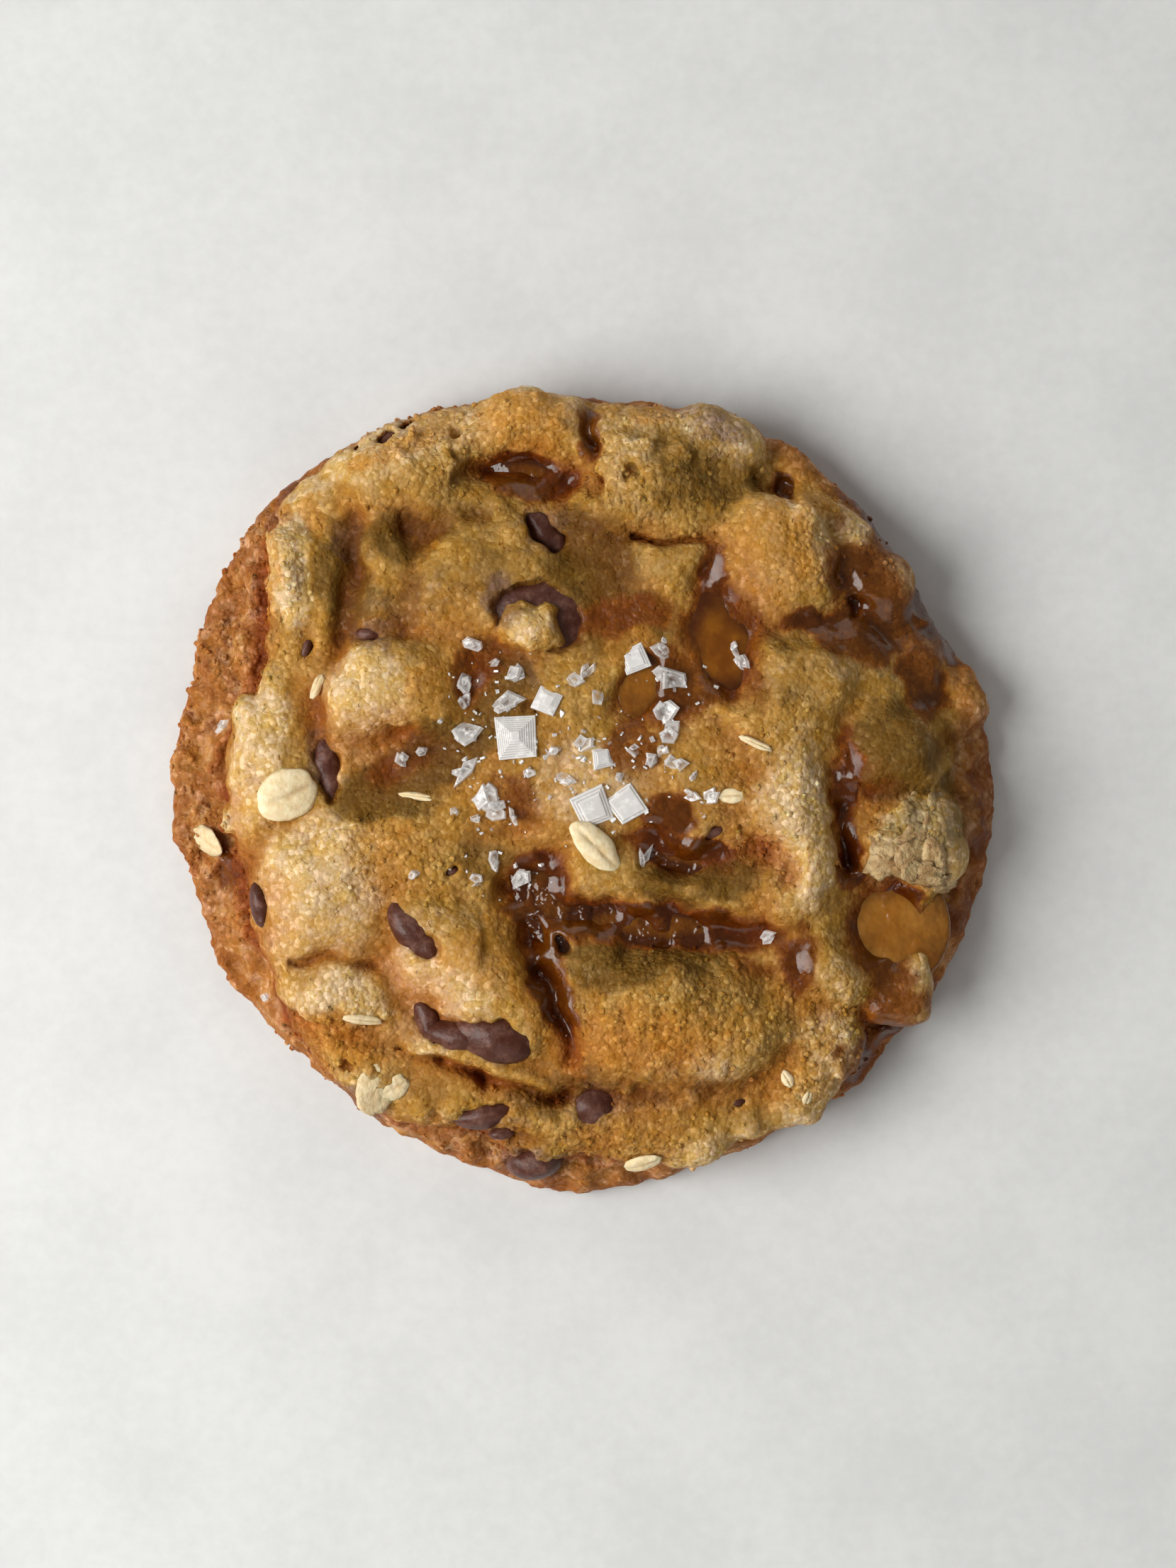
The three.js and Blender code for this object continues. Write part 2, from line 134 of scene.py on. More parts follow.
# Dough that has closed over the chips again
CAPS = [
    (-6.0, 19.0, 3.8, 3.0, 0, 17.5, 2.3, 1.3), (-14.8, -26.2, 2.6, 1.3, -10, 16.6, 1.4, 1.5),
    (2.4, -39.4, 1.6, 1.2, 20, 13.2, 1.2, 1.5), (-4.2, -43.4, 1.6, 1.0, -20, 11.8, 1.0, 1.5),
]

# Creases and sunken runs: from x, y to x, y, half-width, depth
CREASES = [
    (-27.5, 33, -27.4, 19, 1.4, 0.8),
    (-27.8, 19, -31.5, 2, 1.2, 0.8),
    (-20.5, 29, -19.6, 18, 1.6, 0.7),
    (-26, 0.5, -12, 16, 2.6, 1.2),
    (-8.5, -6, -6, -17, 2.6, 1.5),
    (-8.2, -13, -5.2, -21.5, 1.9, 1.4),
    (-5.2, -21.5, -0.4, -31.5, 1.2, 1.4),
    (-4, -15.6, 22, -16.6, 2.4, 1.1),
    (8, -6.4, 19.5, -8.0, 1.8, 1.1),
    (31.8, -3, 31.2, -10, 1.3, 1.9),
    (14, 24, 15.5, 12, 2.6, 1.0),
    (12, 12, 3, 9, 3.0, 0.8),
    (-12, 38.4, -2, 36.4, 2.0, 1.7),
    (28, 19.8, 40, 18.6, 1.6, 1.5),
    (-22, -30.8, -17.4, -34.2, 0.7, 1.5),
    (-17.4, -34.2, -11, -35.8, 0.7, 1.5),
    (-11, -35.8, -1, -35.6, 0.9, 1.6),
    (-17.5, -39.6, -10.6, -41.0, 0.7, 1.0),
    (-10.6, -41.0, 4, -42.0, 0.7, 0.7),
    (22, 38.5, 26, 34.6, 1.1, 1.5),
    (33, -13, 38, -24, 2.4, 0.3),
    (0.5, 47, 0.6, 41, 0.8, 1.6),
    (-33, -20.4, -25, -20.8, 0.5, 1.0),
    (6.5, 29.4, 14.0, 29.8, 0.5, 1.2),
    (-21, 29.6, -12, 31.4, 2.0, 1.5),
    (-37.4, 19, -38.8, 12, 1.2, 1.6),
    (30.6, 31, 31.8, 24, 1.2, 0.4),
    (-1, 33, 3, 22, 4.0, 1.0),
    (-38.4, 30, -38.4, 19, 0.9, 1.3),
    (5, -4, 12, -4.4, 1.6, 1.0),
]
# Bubble holes and torn pits: x, y, radius, depth
PITS = [
    (37.4, -11.6, 1.2, 2.6), (-2.0, -18.7, 1.3, 2.6), (-28.2, -33.2, 1.0, 1.9), (24.4, 36.2, 1.2, 1.3),
    (31.6, 33.2, 1.0, 1.4), (-22.6, 43.2, 1.0, 0.9), (-15.0, 42.4, 1.1, 0.9), (33.0, 22.2, 1.4, 2.0),
    (-39.0, 13.4, 1.5, 2.2), (-6.0, 9.6, 1.0, 1.2), (5.8, 37.6, 0.8, 1.4),
]

# Chocolate chips: middle x and y, half-widths of what shows, turn, and how far the top stands over the dough
CHIPS = {
    "chip_1": (-4.3, 30.7, 3.3, 1.5, -52, 0.2),
    "chip_2": (-5.0, 20.4, 5.8, 4.4, -8, 0.2),
    "chip_3": (-30.2, 2.6, 4.2, 1.6, 100, -0.1),
    "chip_4": (-19.8, -17.1, 3.7, 1.8, -54, 0.1),
    "chip_5": (-10.2, -29.5, 4.1, 2.4, -10, 0.4),
    "chip_6": (-11.4, -38.9, 3.1, 1.4, 10, 0.2),
    "chip_7": (1.6, -37.7, 2.5, 2.3, 0, 0.3),
    "chip_8": (-5.5, -44.8, 2.7, 1.7, 8, 0.2),
    "chip_9": (-38.4, -13.8, 2.2, 0.9, 100, 0.1),
}
# Smaller bits of chocolate, measured in the same way
CHIP_BITS = [
    (-14.6, -29.4, 3.2, 1.6, -8, 0.3), (-18.2, -27.8, 2.7, 1.2, -66, 0.3),
    (-32.9, 16.6, 1.2, 0.5, 70, 0.1), (-25.2, 18.4, 1.4, 0.8, 0, 0.0), (-15.4, -9.9, 0.8, 0.6, 30, 0.2),
    (15.9, -5.0, 1.3, 0.6, 20, 0.1), (-23.4, 41.8, 1.3, 0.6, 40, 0.1), (-20.6, 43.0, 1.3, 0.6, 30, 0.1),
    (18.6, -37.4, 0.9, 0.5, 10, 0.1), (-9.6, -41.2, 1.2, 0.6, 5, 0.1), (-26.6, 40.6, 0.9, 0.6, 60, 0.1),
]
ALL_CHIPS = [*CHIPS.values(), *CHIP_BITS]
# How deep a chip's body goes, and how much wider it is than what shows
CHIP_DEPTH = 3.0
CHIP_COVER = 1.3
# The pockets that chips and pits open in the dough: how far the middle is over it, and how deep a chip's goes
POCKET_RISE = 0.6
POCKET_DEPTH = 2.4
PIT_RISE = 0.4
# Pools of melted toffee: middle x and y, half-widths, turn, how far the skin ripples, and how pale it is
POOLS = {
    "toffee_1": (16.8, 16.6, 6.0, 4.0, 98, 0.06, 0.0),
    "toffee_2": (6.6, 12.0, 5.0, 3.6, 60, 0.2, 0.15),
    "toffee_3": (-3.6, -12.4, 6.6, 3.4, 112, 0.45, 0.0),
    "toffee_4": (8.0, -16.3, 11.0, 2.3, -3, 0.35, 0.0),
    "toffee_5": (13.2, -7.8, 6.4, 2.0, -12, 0.3, 0.0),
    "toffee_6": (36.9, -16.3, 6.0, 5.7, 112, 0.1, 0.55),
    "toffee_7": (-6.4, 38.2, 3.8, 1.3, -8, 0.3, 0.0),
}
POOL_BED = 0.8
POOL_SPREAD = 1.3
# Which percentile of the dough round a pool is its brim, and how far down the middle of the pool's body lies
POOL_BRIM = 25
POOL_SUNK = 1.7
POOL_HALF_DEPTH = 1.6
POOL_FLATNESS = 0.3

# Tones of the crust: middle x and y, half-widths, turn in degrees, strength. Most spots are the dough's own
# colour; the spots marked below paint light on lit flanks or shade on slopes that face away from the lamp
TOASTED = [
    (-7, 44.5, 8, 5, 0, 0.9), (23, 28, 7.5, 8.5, 0, 0.8), (28, 37, 6, 5, -38, 1.0),
    (6, 46, 8, 3.0, 0, 0.7), (-3.5, -26, 3.5, 9, 25, 1.0), (7, -29, 9, 5.5, 0, 1.0),
    (-12, -20, 7, 4, -40, 0.6), (-23, -8, 7, 5, 0, 0.6), (-16.5, 12, 5, 5.5, 0, 0.8),
    (45, 12, 3, 3.5, 0, 1.0), (-14, -33.5, 9, 3, -12, 0.2), (27, -34, 8, 5, 42, 0.6),
    (20, 9, 4, 5, 0, 0.5), (-29, -30, 7, 4, -35, 0.8), (-36.5, 32.5, 2, 2, 0, 1.0),
    (-32.6, 32.6, 2, 3, 0, 0.7), (-26, 39, 3, 2, 0, 0.8), (-20, 42, 9, 3, 28, 0.7),
    (22, -10, 4, 7, 0, 0.4), (6, -41, 16, 3, 0, 0.4), (-9, -15, 3, 4, 0, 0.8), (5, 17, 4, 3, 0, 0.7),
    (-38, 26, 2.5, 8, 0, 0.7), (-5, 33, 3, 4, 0, 0.5), (20, -24, 5, 8, 0, 0.5),
    (-6.5, -22, 2.6, 8, 28, 1.0), (14, -29, 9, 5, 0, 0.6), (36, -24, 4, 5, 0, 0.6),
    (-40, -20, 4, 9, 25, 0.5), (-44, 18, 4, 9, -20, 0.6),
]
BUTTERY_AND_PAINTED_SHADE = [
    (14, 38, 10, 6.5, 0, 0.8), (-15, 33, 9, 7, 0, 0.6), (-12, 26, 11, 5, 0, 0.6), (1, 27, 7, 9, 0, 1.0),
    (8, -20, 14, 4.5, 0, 1.0), (37.5, 4.5, 6.5, 6.5, 0, 1.6), (44, -5, 5, 8, 0, 0.7),
    (13, -11, 10, 3.5, 0, 1.0), (-24, -1, 9, 4, 0, 1.0), (-2, -37, 9, 3, 0, 0.7),
    (1, -34, 9, 2.2, 0, 0.6), (-28, 26, 4, 9, 0, 0.9), (23, 14, 7, 5, 0, 0.6), (47, -2, 4, 12, 0, 1.5),
    (10, -36, 12, 2.4, 8, 0.4), (-9, 11, 5, 7, 0, 0.8), (16, -24, 7, 5, 0, 0.7), (-12, -8, 4, 4, 0, 0.6),
    # (-17, 4.5) is partly the dough's olive tone and partly painted shade on the steep lower right flank of
    # the mound at (-21.8, 11.6), which faces away from the lamp
    (-17, 4.5, 9, 4.5, 38, 1.1), (-22, 30, 5, 4, 0, 0.9), (12, 44, 9, 4, -15, 0.8), (4, 20, 9, 5, 0, 0.9),
    (-8, -43, 12, 3, 0, 0.6), (-20, -36, 6, 3, 0, 0.5), (-20, 23, 8, 5, 0, 0.5),
]
PALE_AND_PAINTED_LIGHT = [
    (-31, -12, 9, 10, 0, 1.0), (-39, 3, 3.5, 11, -12, 1.0), (-34.8, 26, 3, 7, 6, 1.3),
    (25, -4, 6, 11, 4, 0.8), (7, 35, 6, 5, 0, 0.15), (-26, 11, 5.5, 6.5, 0, 0.9),
    (-6.8, 19, 3, 2.6, 0, 0.8), (-28.5, -24, 6, 4, 0, 0.8), (29, -30, 4, 4, 0, 0.6),
    # (-18, -22.6) is painted light on the lit left flank of the ridge at (-13.6, -21.2)
    (-18, -22.6, 8, 5, -35, 1.1), (1, 1, 9, 6, 0, 0.7), (21, 26, 4, 6, 0, 0.7), (39, -6, 5, 6, 0, 0.6),
    (-22, -28, 8, 3, -20, 0.6), (12, -33, 9, 3, 0, 0.5), (20, 13, 5, 3, 0, 0.4), (8, -37, 10, 2, 0, 0.6),
    # (-28, 4) is painted light that lifts the shaded low ground beside the mound at (-21.8, 11.6)
    (-28, 4, 6, 4, 0, 0.6), (21, -7, 4, 4, 0, 0.6),
]
SOAKED_AND_PAINTED_SHADE = [
    (16, 17, 6.5, 8.5, 0, 0.7), (9.5, 12, 6.5, 6, 0, 0.9), (-4.5, -13.6, 4.5, 6.4, 10, 1.0),
    (9, -16.4, 14, 2.8, -3, 1.1), (12, -7.2, 7.4, 2.1, -7, 1.0), (31.8, 1.0, 1.7, 7, 0, 0.7),
    (36.5, 25, 7, 10, 30, 1.1), (34, 19, 7, 5, 0, 0.9), (-6, 37.2, 7, 3.2, 0, 0.7),
    (0.8, 44, 1.8, 4, 0, 1.0), (41, -28, 6, 8, 35, 1.0), (26, -20, 3.5, 5, 0, 0.75),
    (-8, 0, 4, 4, 0, 0.4), (-4.6, -18.4, 2.4, 6, 24, 0.9), (37, -18, 6.0, 6, 0, 0.7),
    (28, 19.6, 6, 2, 0, 0.8), (45.6, -14, 3.0, 6, 0, 0.45), (15.4, 25, 1.6, 5, 0, 0.7),
    (41.5, 14, 4, 7, 0, 1.0), (5, 20.5, 9, 2.8, 8, 0.5), (9.6, -3.6, 4, 3, 0, 0.9),
    (38.5, -24, 4.5, 5, 0, 0.9), (34, -33, 4, 4, 45, 0.9), (43.5, 7, 3, 6, 0, 0.4),
    (37.5, 4.5, 6, 6, 0, 0.3), (47.4, -3, 3, 9, 0, 0.45), (-13, 13, 3, 4, 0, 0.55),
    (32, 32, 4, 4, -40, 0.7), (24.5, 36.4, 2.4, 1.6, -40, 0.9), (-22, 2, 6, 2.6, 38, 0.2),
    # (17, 43.6) is painted shade on the slope of the upper rim that faces away from the lamp
    (-43, -9, 2, 4, 10, 0.6), (17, 43.6, 6, 2, -20, 0.5), (-10, 4, 2.2, 2.2, 0, 0.4),
    (20, -21, 3, 2, 0, 0.5), (5.5, 5, 4, 4, 0, 0.6), (-3.4, -24, 2.4, 8, 25, 0.9),
    (31.6, -7.5, 1.6, 5, 0, 0.9), (38.8, -13.6, 3.0, 2.4, 0, 1.0), (-33, 38, 6, 3, 45, 0.45),
]
STAINED_AND_PAINTED_SHADE = [
    # (-39.2, 23) is a painted shadow line along the foot of the crust's left cliff
    (-38, 14, 3, 5, 0, 0.35), (37.5, 4.5, 6, 6, 0, 0.15), (-39.2, 23, 1.2, 6, 0, 0.5),
    (-24.5, 18, 4, 3, 0, 0.7), (-20, 22.5, 9, 5, 0, 0.32), (-10, 22, 3.5, 4, 0, 0.7),
    (-4, 31, 4, 4, 0, 0.6), (-31, 4, 2.5, 4, 0, 0.6), (-20, -16.5, 3.5, 3.5, 0, 0.4),
    (-6, -45, 6, 3, 0, 0.7), (2, -37.5, 4.5, 3.5, 0, 0.6), (-38, 33, 5, 4, 45, 0.5),
    (-23, 43.6, 4, 1.6, 32, 0.5), (-27, -38, 5, 3, -30, 0.7), (-6, 14, 4, 3, 0, 0.4),
    (-11, -40, 6, 3, 0, 0.5), (-28, 30, 3, 4, 0, 0.5), (-10, -31, 3, 2, 0, 0.5),
    # (16, 44) is painted shade on the same shaded slope of the upper rim
    (16, 44, 7, 2.6, -20, 0.7),
]
CRUMBLY = [
    (-18, 40, 12, 8, 25, 0.6), (8, 38, 14, 9, 0, 0.6), (-42, 20, 8, 16, -25, 1.0),
    (10, -26, 14, 9, 0, 0.8), (28, -30, 9, 9, 0, 0.9), (23, -2, 8, 15, 0, 0.6),
    (-28, -30, 9, 7, -30, 0.8), (39, -6, 7, 7, 0, 0.8), (30, 30, 7, 9, 30, 0.6),
    (-45, -8, 5, 16, 12, 0.9), (-22, -8, 9, 8, 0, 0.5), (0, -41, 20, 6, 0, 0.7),
]
OATY_SPOTS = [
    (40, -6, 6, 6, 0, 0.9), (36, -10, 4, 2.5, 0, 0.7), (37, 16, 3, 4, 20, 0.5),
    (-25, -36.5, 3, 3, 0, 0.5),
]
SALTED = [
    (-9, 7, 9, 9, 0, 1.0), (4, 4, 9, 8, 0, 0.9), (10, 10, 6, 8, 0, 0.8), (-10, -7, 7, 8, 0, 0.5),
    (14, -1, 5, 3, 0, 0.5),
]

# Rolled oats: middle x and y, half-widths, turn, lean and tip in degrees, and how deep they are sunk
OATS = [
    (-35.0, -0.7, 3.8, 3.0, 24, 0, 0, -0.4), (1.7, -6.8, 3.9, 1.9, -46, 4, 5, -0.25),
    (-24.4, -35.7, 3.2, 2.5, 62, 10, 4, 0.5), (-22.4, -35.6, 2.0, 1.5, 30, 8, -6, 0.4),
    (-45.2, -6.2, 2.8, 1.7, -22, 6, -8, 0.5), (17.8, -0.8, 1.6, 0.9, 0, 0, 0, 0.1),
    (7.4, -44.8, 2.4, 1.2, 24, 0, 0, 0.3), (-13.4, -14.8, 1.3, 0.9, 24, 0, 0, 0.0),
    (-19.4, -0.9, 2.4, 0.5, -8, 0, 0, 0.2), (20.6, 5.4, 2.2, 0.5, -24, 0, 0, 0.2),
    (-26.0, -27.4, 2.4, 0.6, -8, 0, 0, 0.2), (24.6, -34.6, 1.1, 0.7, -60, 0, 0, 0.1),
    (-24.4, 15.6, 2.2, 1.5, 60, 0, 0, 0.45), (-31.4, 12.2, 1.6, 0.6, 70, 0, 0, 0.3),
    (27.0, -36.8, 1.0, 0.7, 80, 0, 0, 0.2),
]
# Oats of the cluster at the right, glazed by the dough that they are baked into
GLAZED_OATS = [
    (42.2, -4.2, 3.8, 2.1, 80, 12, -6, 0.05), (44.2, -7.4, 3.0, 1.8, 76, 26, -8, 0.2),
    (39.2, -4.4, 2.8, 2.1, 48, -14, 12, 0.15), (40.2, -10.0, 3.2, 1.9, -22, 14, 8, 0.15),
    (35.8, -8.8, 2.3, 1.7, 44, -10, 8, 0.4), (43.4, -11.2, 2.6, 1.7, -58, 18, 12, 0.3),
    (39.4, -7.4, 3.2, 2.2, 66, 20, 10, 0.2), (36.6, -6.4, 2.4, 1.8, 20, -10, 14, 0.35),
    (41.6, -8.0, 2.4, 1.6, 100, -22, -10, 0.1), (40.8, -1.4, 2.4, 1.7, 30, 16, -12, 0.3),
]
OAT_GLAZE = 0.9
OAT_THICKNESS = 0.9
OAT_LIFT = 0.35

# Whole salt crystals, stepped pyramids: middle x and y, length of a side, turn in degrees, steps, and the
# width of the flat top as a share of the side
SALT_PYRAMIDS = [
    (-7.8, 6.2, 4.9, 6, 8, 0.14), (1.4, -2.3, 4.2, 21, 3, 0.5), (5.4, -1.7, 3.8, 33, 2, 0.66),
    (-4.1, 10.5, 2.9, -24, 5, 0.4), (6.2, 15.4, 3.0, 24, 3, 0.5), (2.6, 3.7, 2.4, 12, 3, 0.5),
]
# Broken salt: middle x and y, length, width, turn in degrees
SALT_SHARDS = [
    (-13.8, 12.8, 2.4, 1.3, 70), (-13.6, 10.6, 2.4, 1.2, 100), (-13.4, 7.0, 3.9, 3.2, 20),
    (-13.8, 2.2, 3.4, 2.0, 24), (-8.8, 10.4, 4.0, 1.9, 14), (-7.4, 13.5, 2.4, 2.0, 40),
    (-12.8, 17.1, 2.2, 1.1, -14), (-1.0, 13.0, 1.9, 1.5, 20), (0.8, 13.7, 2.2, 0.9, 66),
    (2.3, 11.2, 2.2, 1.8, 80), (9.6, 16.1, 2.4, 1.3, -50), (10.4, 13.3, 4.0, 2.6, -38),
    (9.8, 9.0, 3.4, 2.6, 70), (10.4, 6.8, 2.6, 2.2, 20), (8.4, 3.6, 1.8, 1.4, 30),
    (11.0, 3.0, 2.2, 1.6, -30), (9.6, 4.6, 1.6, 1.2, 60), (18.3, 16.4, 2.2, 0.9, 84),
    (19.4, 14.9, 2.2, 0.9, -30), (0.3, 5.1, 2.4, 1.4, 40), (6.3, 4.4, 1.7, 1.1, 10),
    (-1.8, 1.3, 2.0, 1.2, -30), (-6.5, 1.8, 1.5, 1.2, 60), (-21.3, 3.3, 1.9, 1.3, -30),
    (-18.9, 4.4, 1.1, 0.9, 30), (-11.2, -1.2, 3.4, 2.4, 60), (-10.2, -2.6, 2.6, 1.6, -20),
    (-8.2, -3.1, 2.4, 0.6, -66), (-15.0, -2.6, 1.1, 0.9, 15), (-12.6, -3.4, 1.2, 0.8, 50),
    (15.2, -0.8, 2.3, 1.5, 48), (13.1, -0.9, 1.7, 0.9, -10), (-19.6, -10.0, 1.4, 1.1, 41),
    (-11.9, -10.9, 1.9, 1.4, 20), (-10.4, -8.9, 2.2, 1.3, 80), (-11.8, -13.3, 2.2, 0.9, 14),
    (-7.5, -10.8, 3.0, 1.4, 44), (7.4, -8.4, 3.2, 0.8, 74), (22.0, -17.5, 1.9, 1.2, 30),
    (-43.0, 7.8, 1.7, 1.3, 15), (-38.0, -25.0, 1.7, 0.8, 10), (-3.4, 4.4, 1.2, 0.9, 0),
    (4.6, 1.4, 1.3, 0.9, 50), (-10.4, 15.2, 1.3, 0.8, 20), (13.4, 1.6, 1.1, 0.7, 60),
    (-16.6, 8.4, 1.0, 0.7, 40),
]
SHARD_THICKNESS = 0.45
# How far crystals and the layers of broken salt are lifted, and how far they may lean, in degrees
PYRAMID_LIFT = 0.5
PYRAMID_LEAN = 10
SHARD_LIFT = 0.4
SHARD_LEAN = 28
SHARD_TURN = 25
LAYER_RISE = 0.35

# Strewn bits: the note that says where they lie thick, whether they have corners, how many a square metre,
# their smallest and largest size, and the seed
CRUMBS = {"note": "crumbly", "corners": False, "bits": 3.0e5, "smallest": 0.3, "largest": 0.9, "seed": 71}
GRIT = {"note": "salted", "corners": True, "bits": 3.4e5, "smallest": 0.2, "largest": 0.7, "seed": 72}

FLOOR_HALF = 900
# The photograph's width in pixels and its scale, and how high the camera and the plane with that scale are
PHOTO_WIDTH = 1659
PIXELS_PER_MM = 11.76
CAMERA_HEIGHT = 500.0
SCALE_PLANE = 10.0
SENSOR_WIDTH = 36.0
CAMERA_X = 0.81
CAMERA_Y = 0.6

# Side of the tables that soft noise and crumbs repeat on
NOISE_SIDE = 32


# Noise and distance


def soft_noise(points, size, seed):
    """Smooth noise of about -1 to 1 whose bumps are about one size wide."""
    slopes = np.random.default_rng(seed).normal(size=(NOISE_SIDE,) * 3 + (3,))
    slopes /= np.linalg.norm(slopes, axis=-1, keepdims=True)
    place = np.asarray(points) / size + 0.37 * seed
    cell = np.floor(place).astype(int)
    share = place - cell
    ease = share ** 3 * (share * (share * 6 - 15) + 10)
    total = np.zeros(len(place))
    for corner in np.ndindex(2, 2, 2):
        corner = np.array(corner)
        at = (cell + corner) % NOISE_SIDE
        lean = (slopes[at[:, 0], at[:, 1], at[:, 2]] * (share - corner)).sum(axis=1)
        total += lean * np.where(corner, ease, 1 - ease).prod(axis=1)
    return 1.6 * total


def crumb_distances(points, size, seed):
    """Distances from each point to the nearest and second nearest of scattered crumbs, in crumb sizes."""
    shifts = np.random.default_rng(seed).random((NOISE_SIDE,) * 3 + (3,))
    place = np.asarray(points) / size
    cell = np.floor(place).astype(int)
    first = np.full(len(place), 9.0)
    second = np.full(len(place), 9.0)
    for step in np.ndindex(3, 3, 3):
        near = cell + np.array(step) - 1
        at = near % NOISE_SIDE
        crumb = near + shifts[at[:, 0], at[:, 1], at[:, 2]]
        away = ((place - crumb) ** 2).sum(axis=1)
        second = np.minimum(second, np.maximum(first, away))
        first = np.minimum(first, away)
    return np.sqrt(first), np.sqrt(second)


def ease_between(value, low, high):
    share = np.clip((value - low) / (high - low), 0, 1)
    return share * share * (3 - 2 * share)


def reach_at(table, angle):
    """A measure that is given at even steps all the way round, at any angle."""
    place = (angle / (2 * math.pi)) % 1 * len(table)
    step = np.floor(place).astype(int)
    a, b, c, d = (np.take(table, step + k, mode="wrap") for k in (-1, 0, 1, 2))
    t = place - step
    return b + 0.5 * t * (c - a + t * (2 * a - 5 * b + 4 * c - d + t * (3 * (b - c) + d - a)))


def turned(dx, dy, degrees):
    """Offsets along and across a direction."""
    angle = math.radians(degrees)
    return dx * math.cos(angle) + dy * math.sin(angle), dy * math.cos(angle) - dx * math.sin(angle)


def joined(a, b, blend):
    """Two bodies' distances joined with a soft crease."""
    near = np.maximum(blend - np.abs(a - b), 0) / blend
    return np.minimum(a, b) - 0.25 * blend * near * near


def slab_distance(side, z, floor, top, rounding):
    """Distance to a slab with rounded edges, from how far each column is outside its outline."""
    across = side + rounding
    up = np.abs(z - 0.5 * (floor + top)) - (0.5 * (top - floor) - rounding)
    outside = np.hypot(np.maximum(across, 0), np.maximum(up, 0))
    return outside + np.minimum(np.maximum(across, up), 0) - rounding


def egg_distance(x, y, z, half, square=2.0):
    """Distance to an egg, or to a squarer body for a higher power."""
    shares = [np.abs(value) / width for value, width in zip((x, y, z), half)]
    scaled = sum(share ** square for share in shares) ** (1 / square)
    slope = np.sqrt(sum((share ** (square - 1) / width) ** 2 for share, width in zip(shares, half)))
    return (scaled - 1) * scaled ** (square - 1) / np.maximum(slope, 1e-6)


def run_distance(x, y, run):
    """Flat distance from points to a straight run between two points."""
    x0, y0, x1, y1 = run
    dx, dy = x1 - x0, y1 - y0
    share = np.clip(((x - x0) * dx + (y - y0) * dy) / (dx * dx + dy * dy), 0, 1)
    return np.hypot(x - x0 - share * dx, y - y0 - share * dy)


def tone_at(spots, x, y):
    """How strongly a list of soft-edged spots colours each point."""
    strength = np.zeros(len(x))
    for at_x, at_y, half_x, half_y, turn, most in spots:
        along, across = turned(x - at_x, y - at_y, turn)
        away = np.hypot(along / half_x, across / half_y)
        strength = np.maximum(strength, most * (1 - ease_between(away, 0.45, 1.25)))
    return strength


# The dough, shaped on a lattice


class Lattice:
    """Evenly spaced points that a body's distances are worked out on."""

    def __init__(self, low, high, step):
        self.step = step
        self.low = np.array(low, dtype=float)
        self.axes = [np.arange(a, b + step, step, dtype=np.float32) for a, b in zip(low, high)]
        columns = np.broadcast_arrays(self.axes[0][:, None], self.axes[1][None, :])
        self.flat = [grid.astype(float) for grid in columns]

    def window(self, middle, reach):
        """The slices of the lattice within a reach of a point."""
        cuts = []
        for axis, at, out in zip(self.axes, middle, reach):
            first, last = np.searchsorted(axis, [at - out, at + out])
            cuts.append(slice(max(first - 1, 0), last + 1))
        return tuple(cuts)

    def spread(self, size, seed):
        """Soft noise over the lattice's columns."""
        x, y = self.flat
        flat = np.stack([x, y, 0 * x], axis=-1).reshape(-1, 3)
        return soft_noise(flat, size, seed).reshape(x.shape)

    def swayed(self, sways):
        """The columns' x and y, moved aside by soft noise."""
        grids = []
        for axis, grid in enumerate(self.flat):
            for amount, size, *seeds in sways:
                grid = grid + amount * self.spread(size, seeds[axis])
            grids.append(grid)
        return grids

    def smoothed(self, grid, width):
        """A grid of columns, smoothed over a width by three passes of a running mean."""
        reach = max(round(width / self.step), 1)
        window = 2 * reach + 1
        for axis in (0, 1) * 3:
            padded = np.pad(grid, [(reach, reach + 1) if k == axis else (0, 0) for k in (0, 1)], mode="edge")
            sums = np.cumsum(padded, axis=axis)
            ahead = np.take(sums, np.arange(window, padded.shape[axis]), axis=axis)
            behind = np.take(sums, np.arange(padded.shape[axis] - window), axis=axis)
            grid = (ahead - behind) / window
        return grid

    def at(self, grid, x, y):
        """Values of a grid of columns at points, by the nearest column."""
        i = np.clip(np.rint((x - self.low[0]) / self.step).astype(int), 0, grid.shape[0] - 1)
        j = np.clip(np.rint((y - self.low[1]) / self.step).astype(int), 0, grid.shape[1] - 1)
        return grid[i, j]


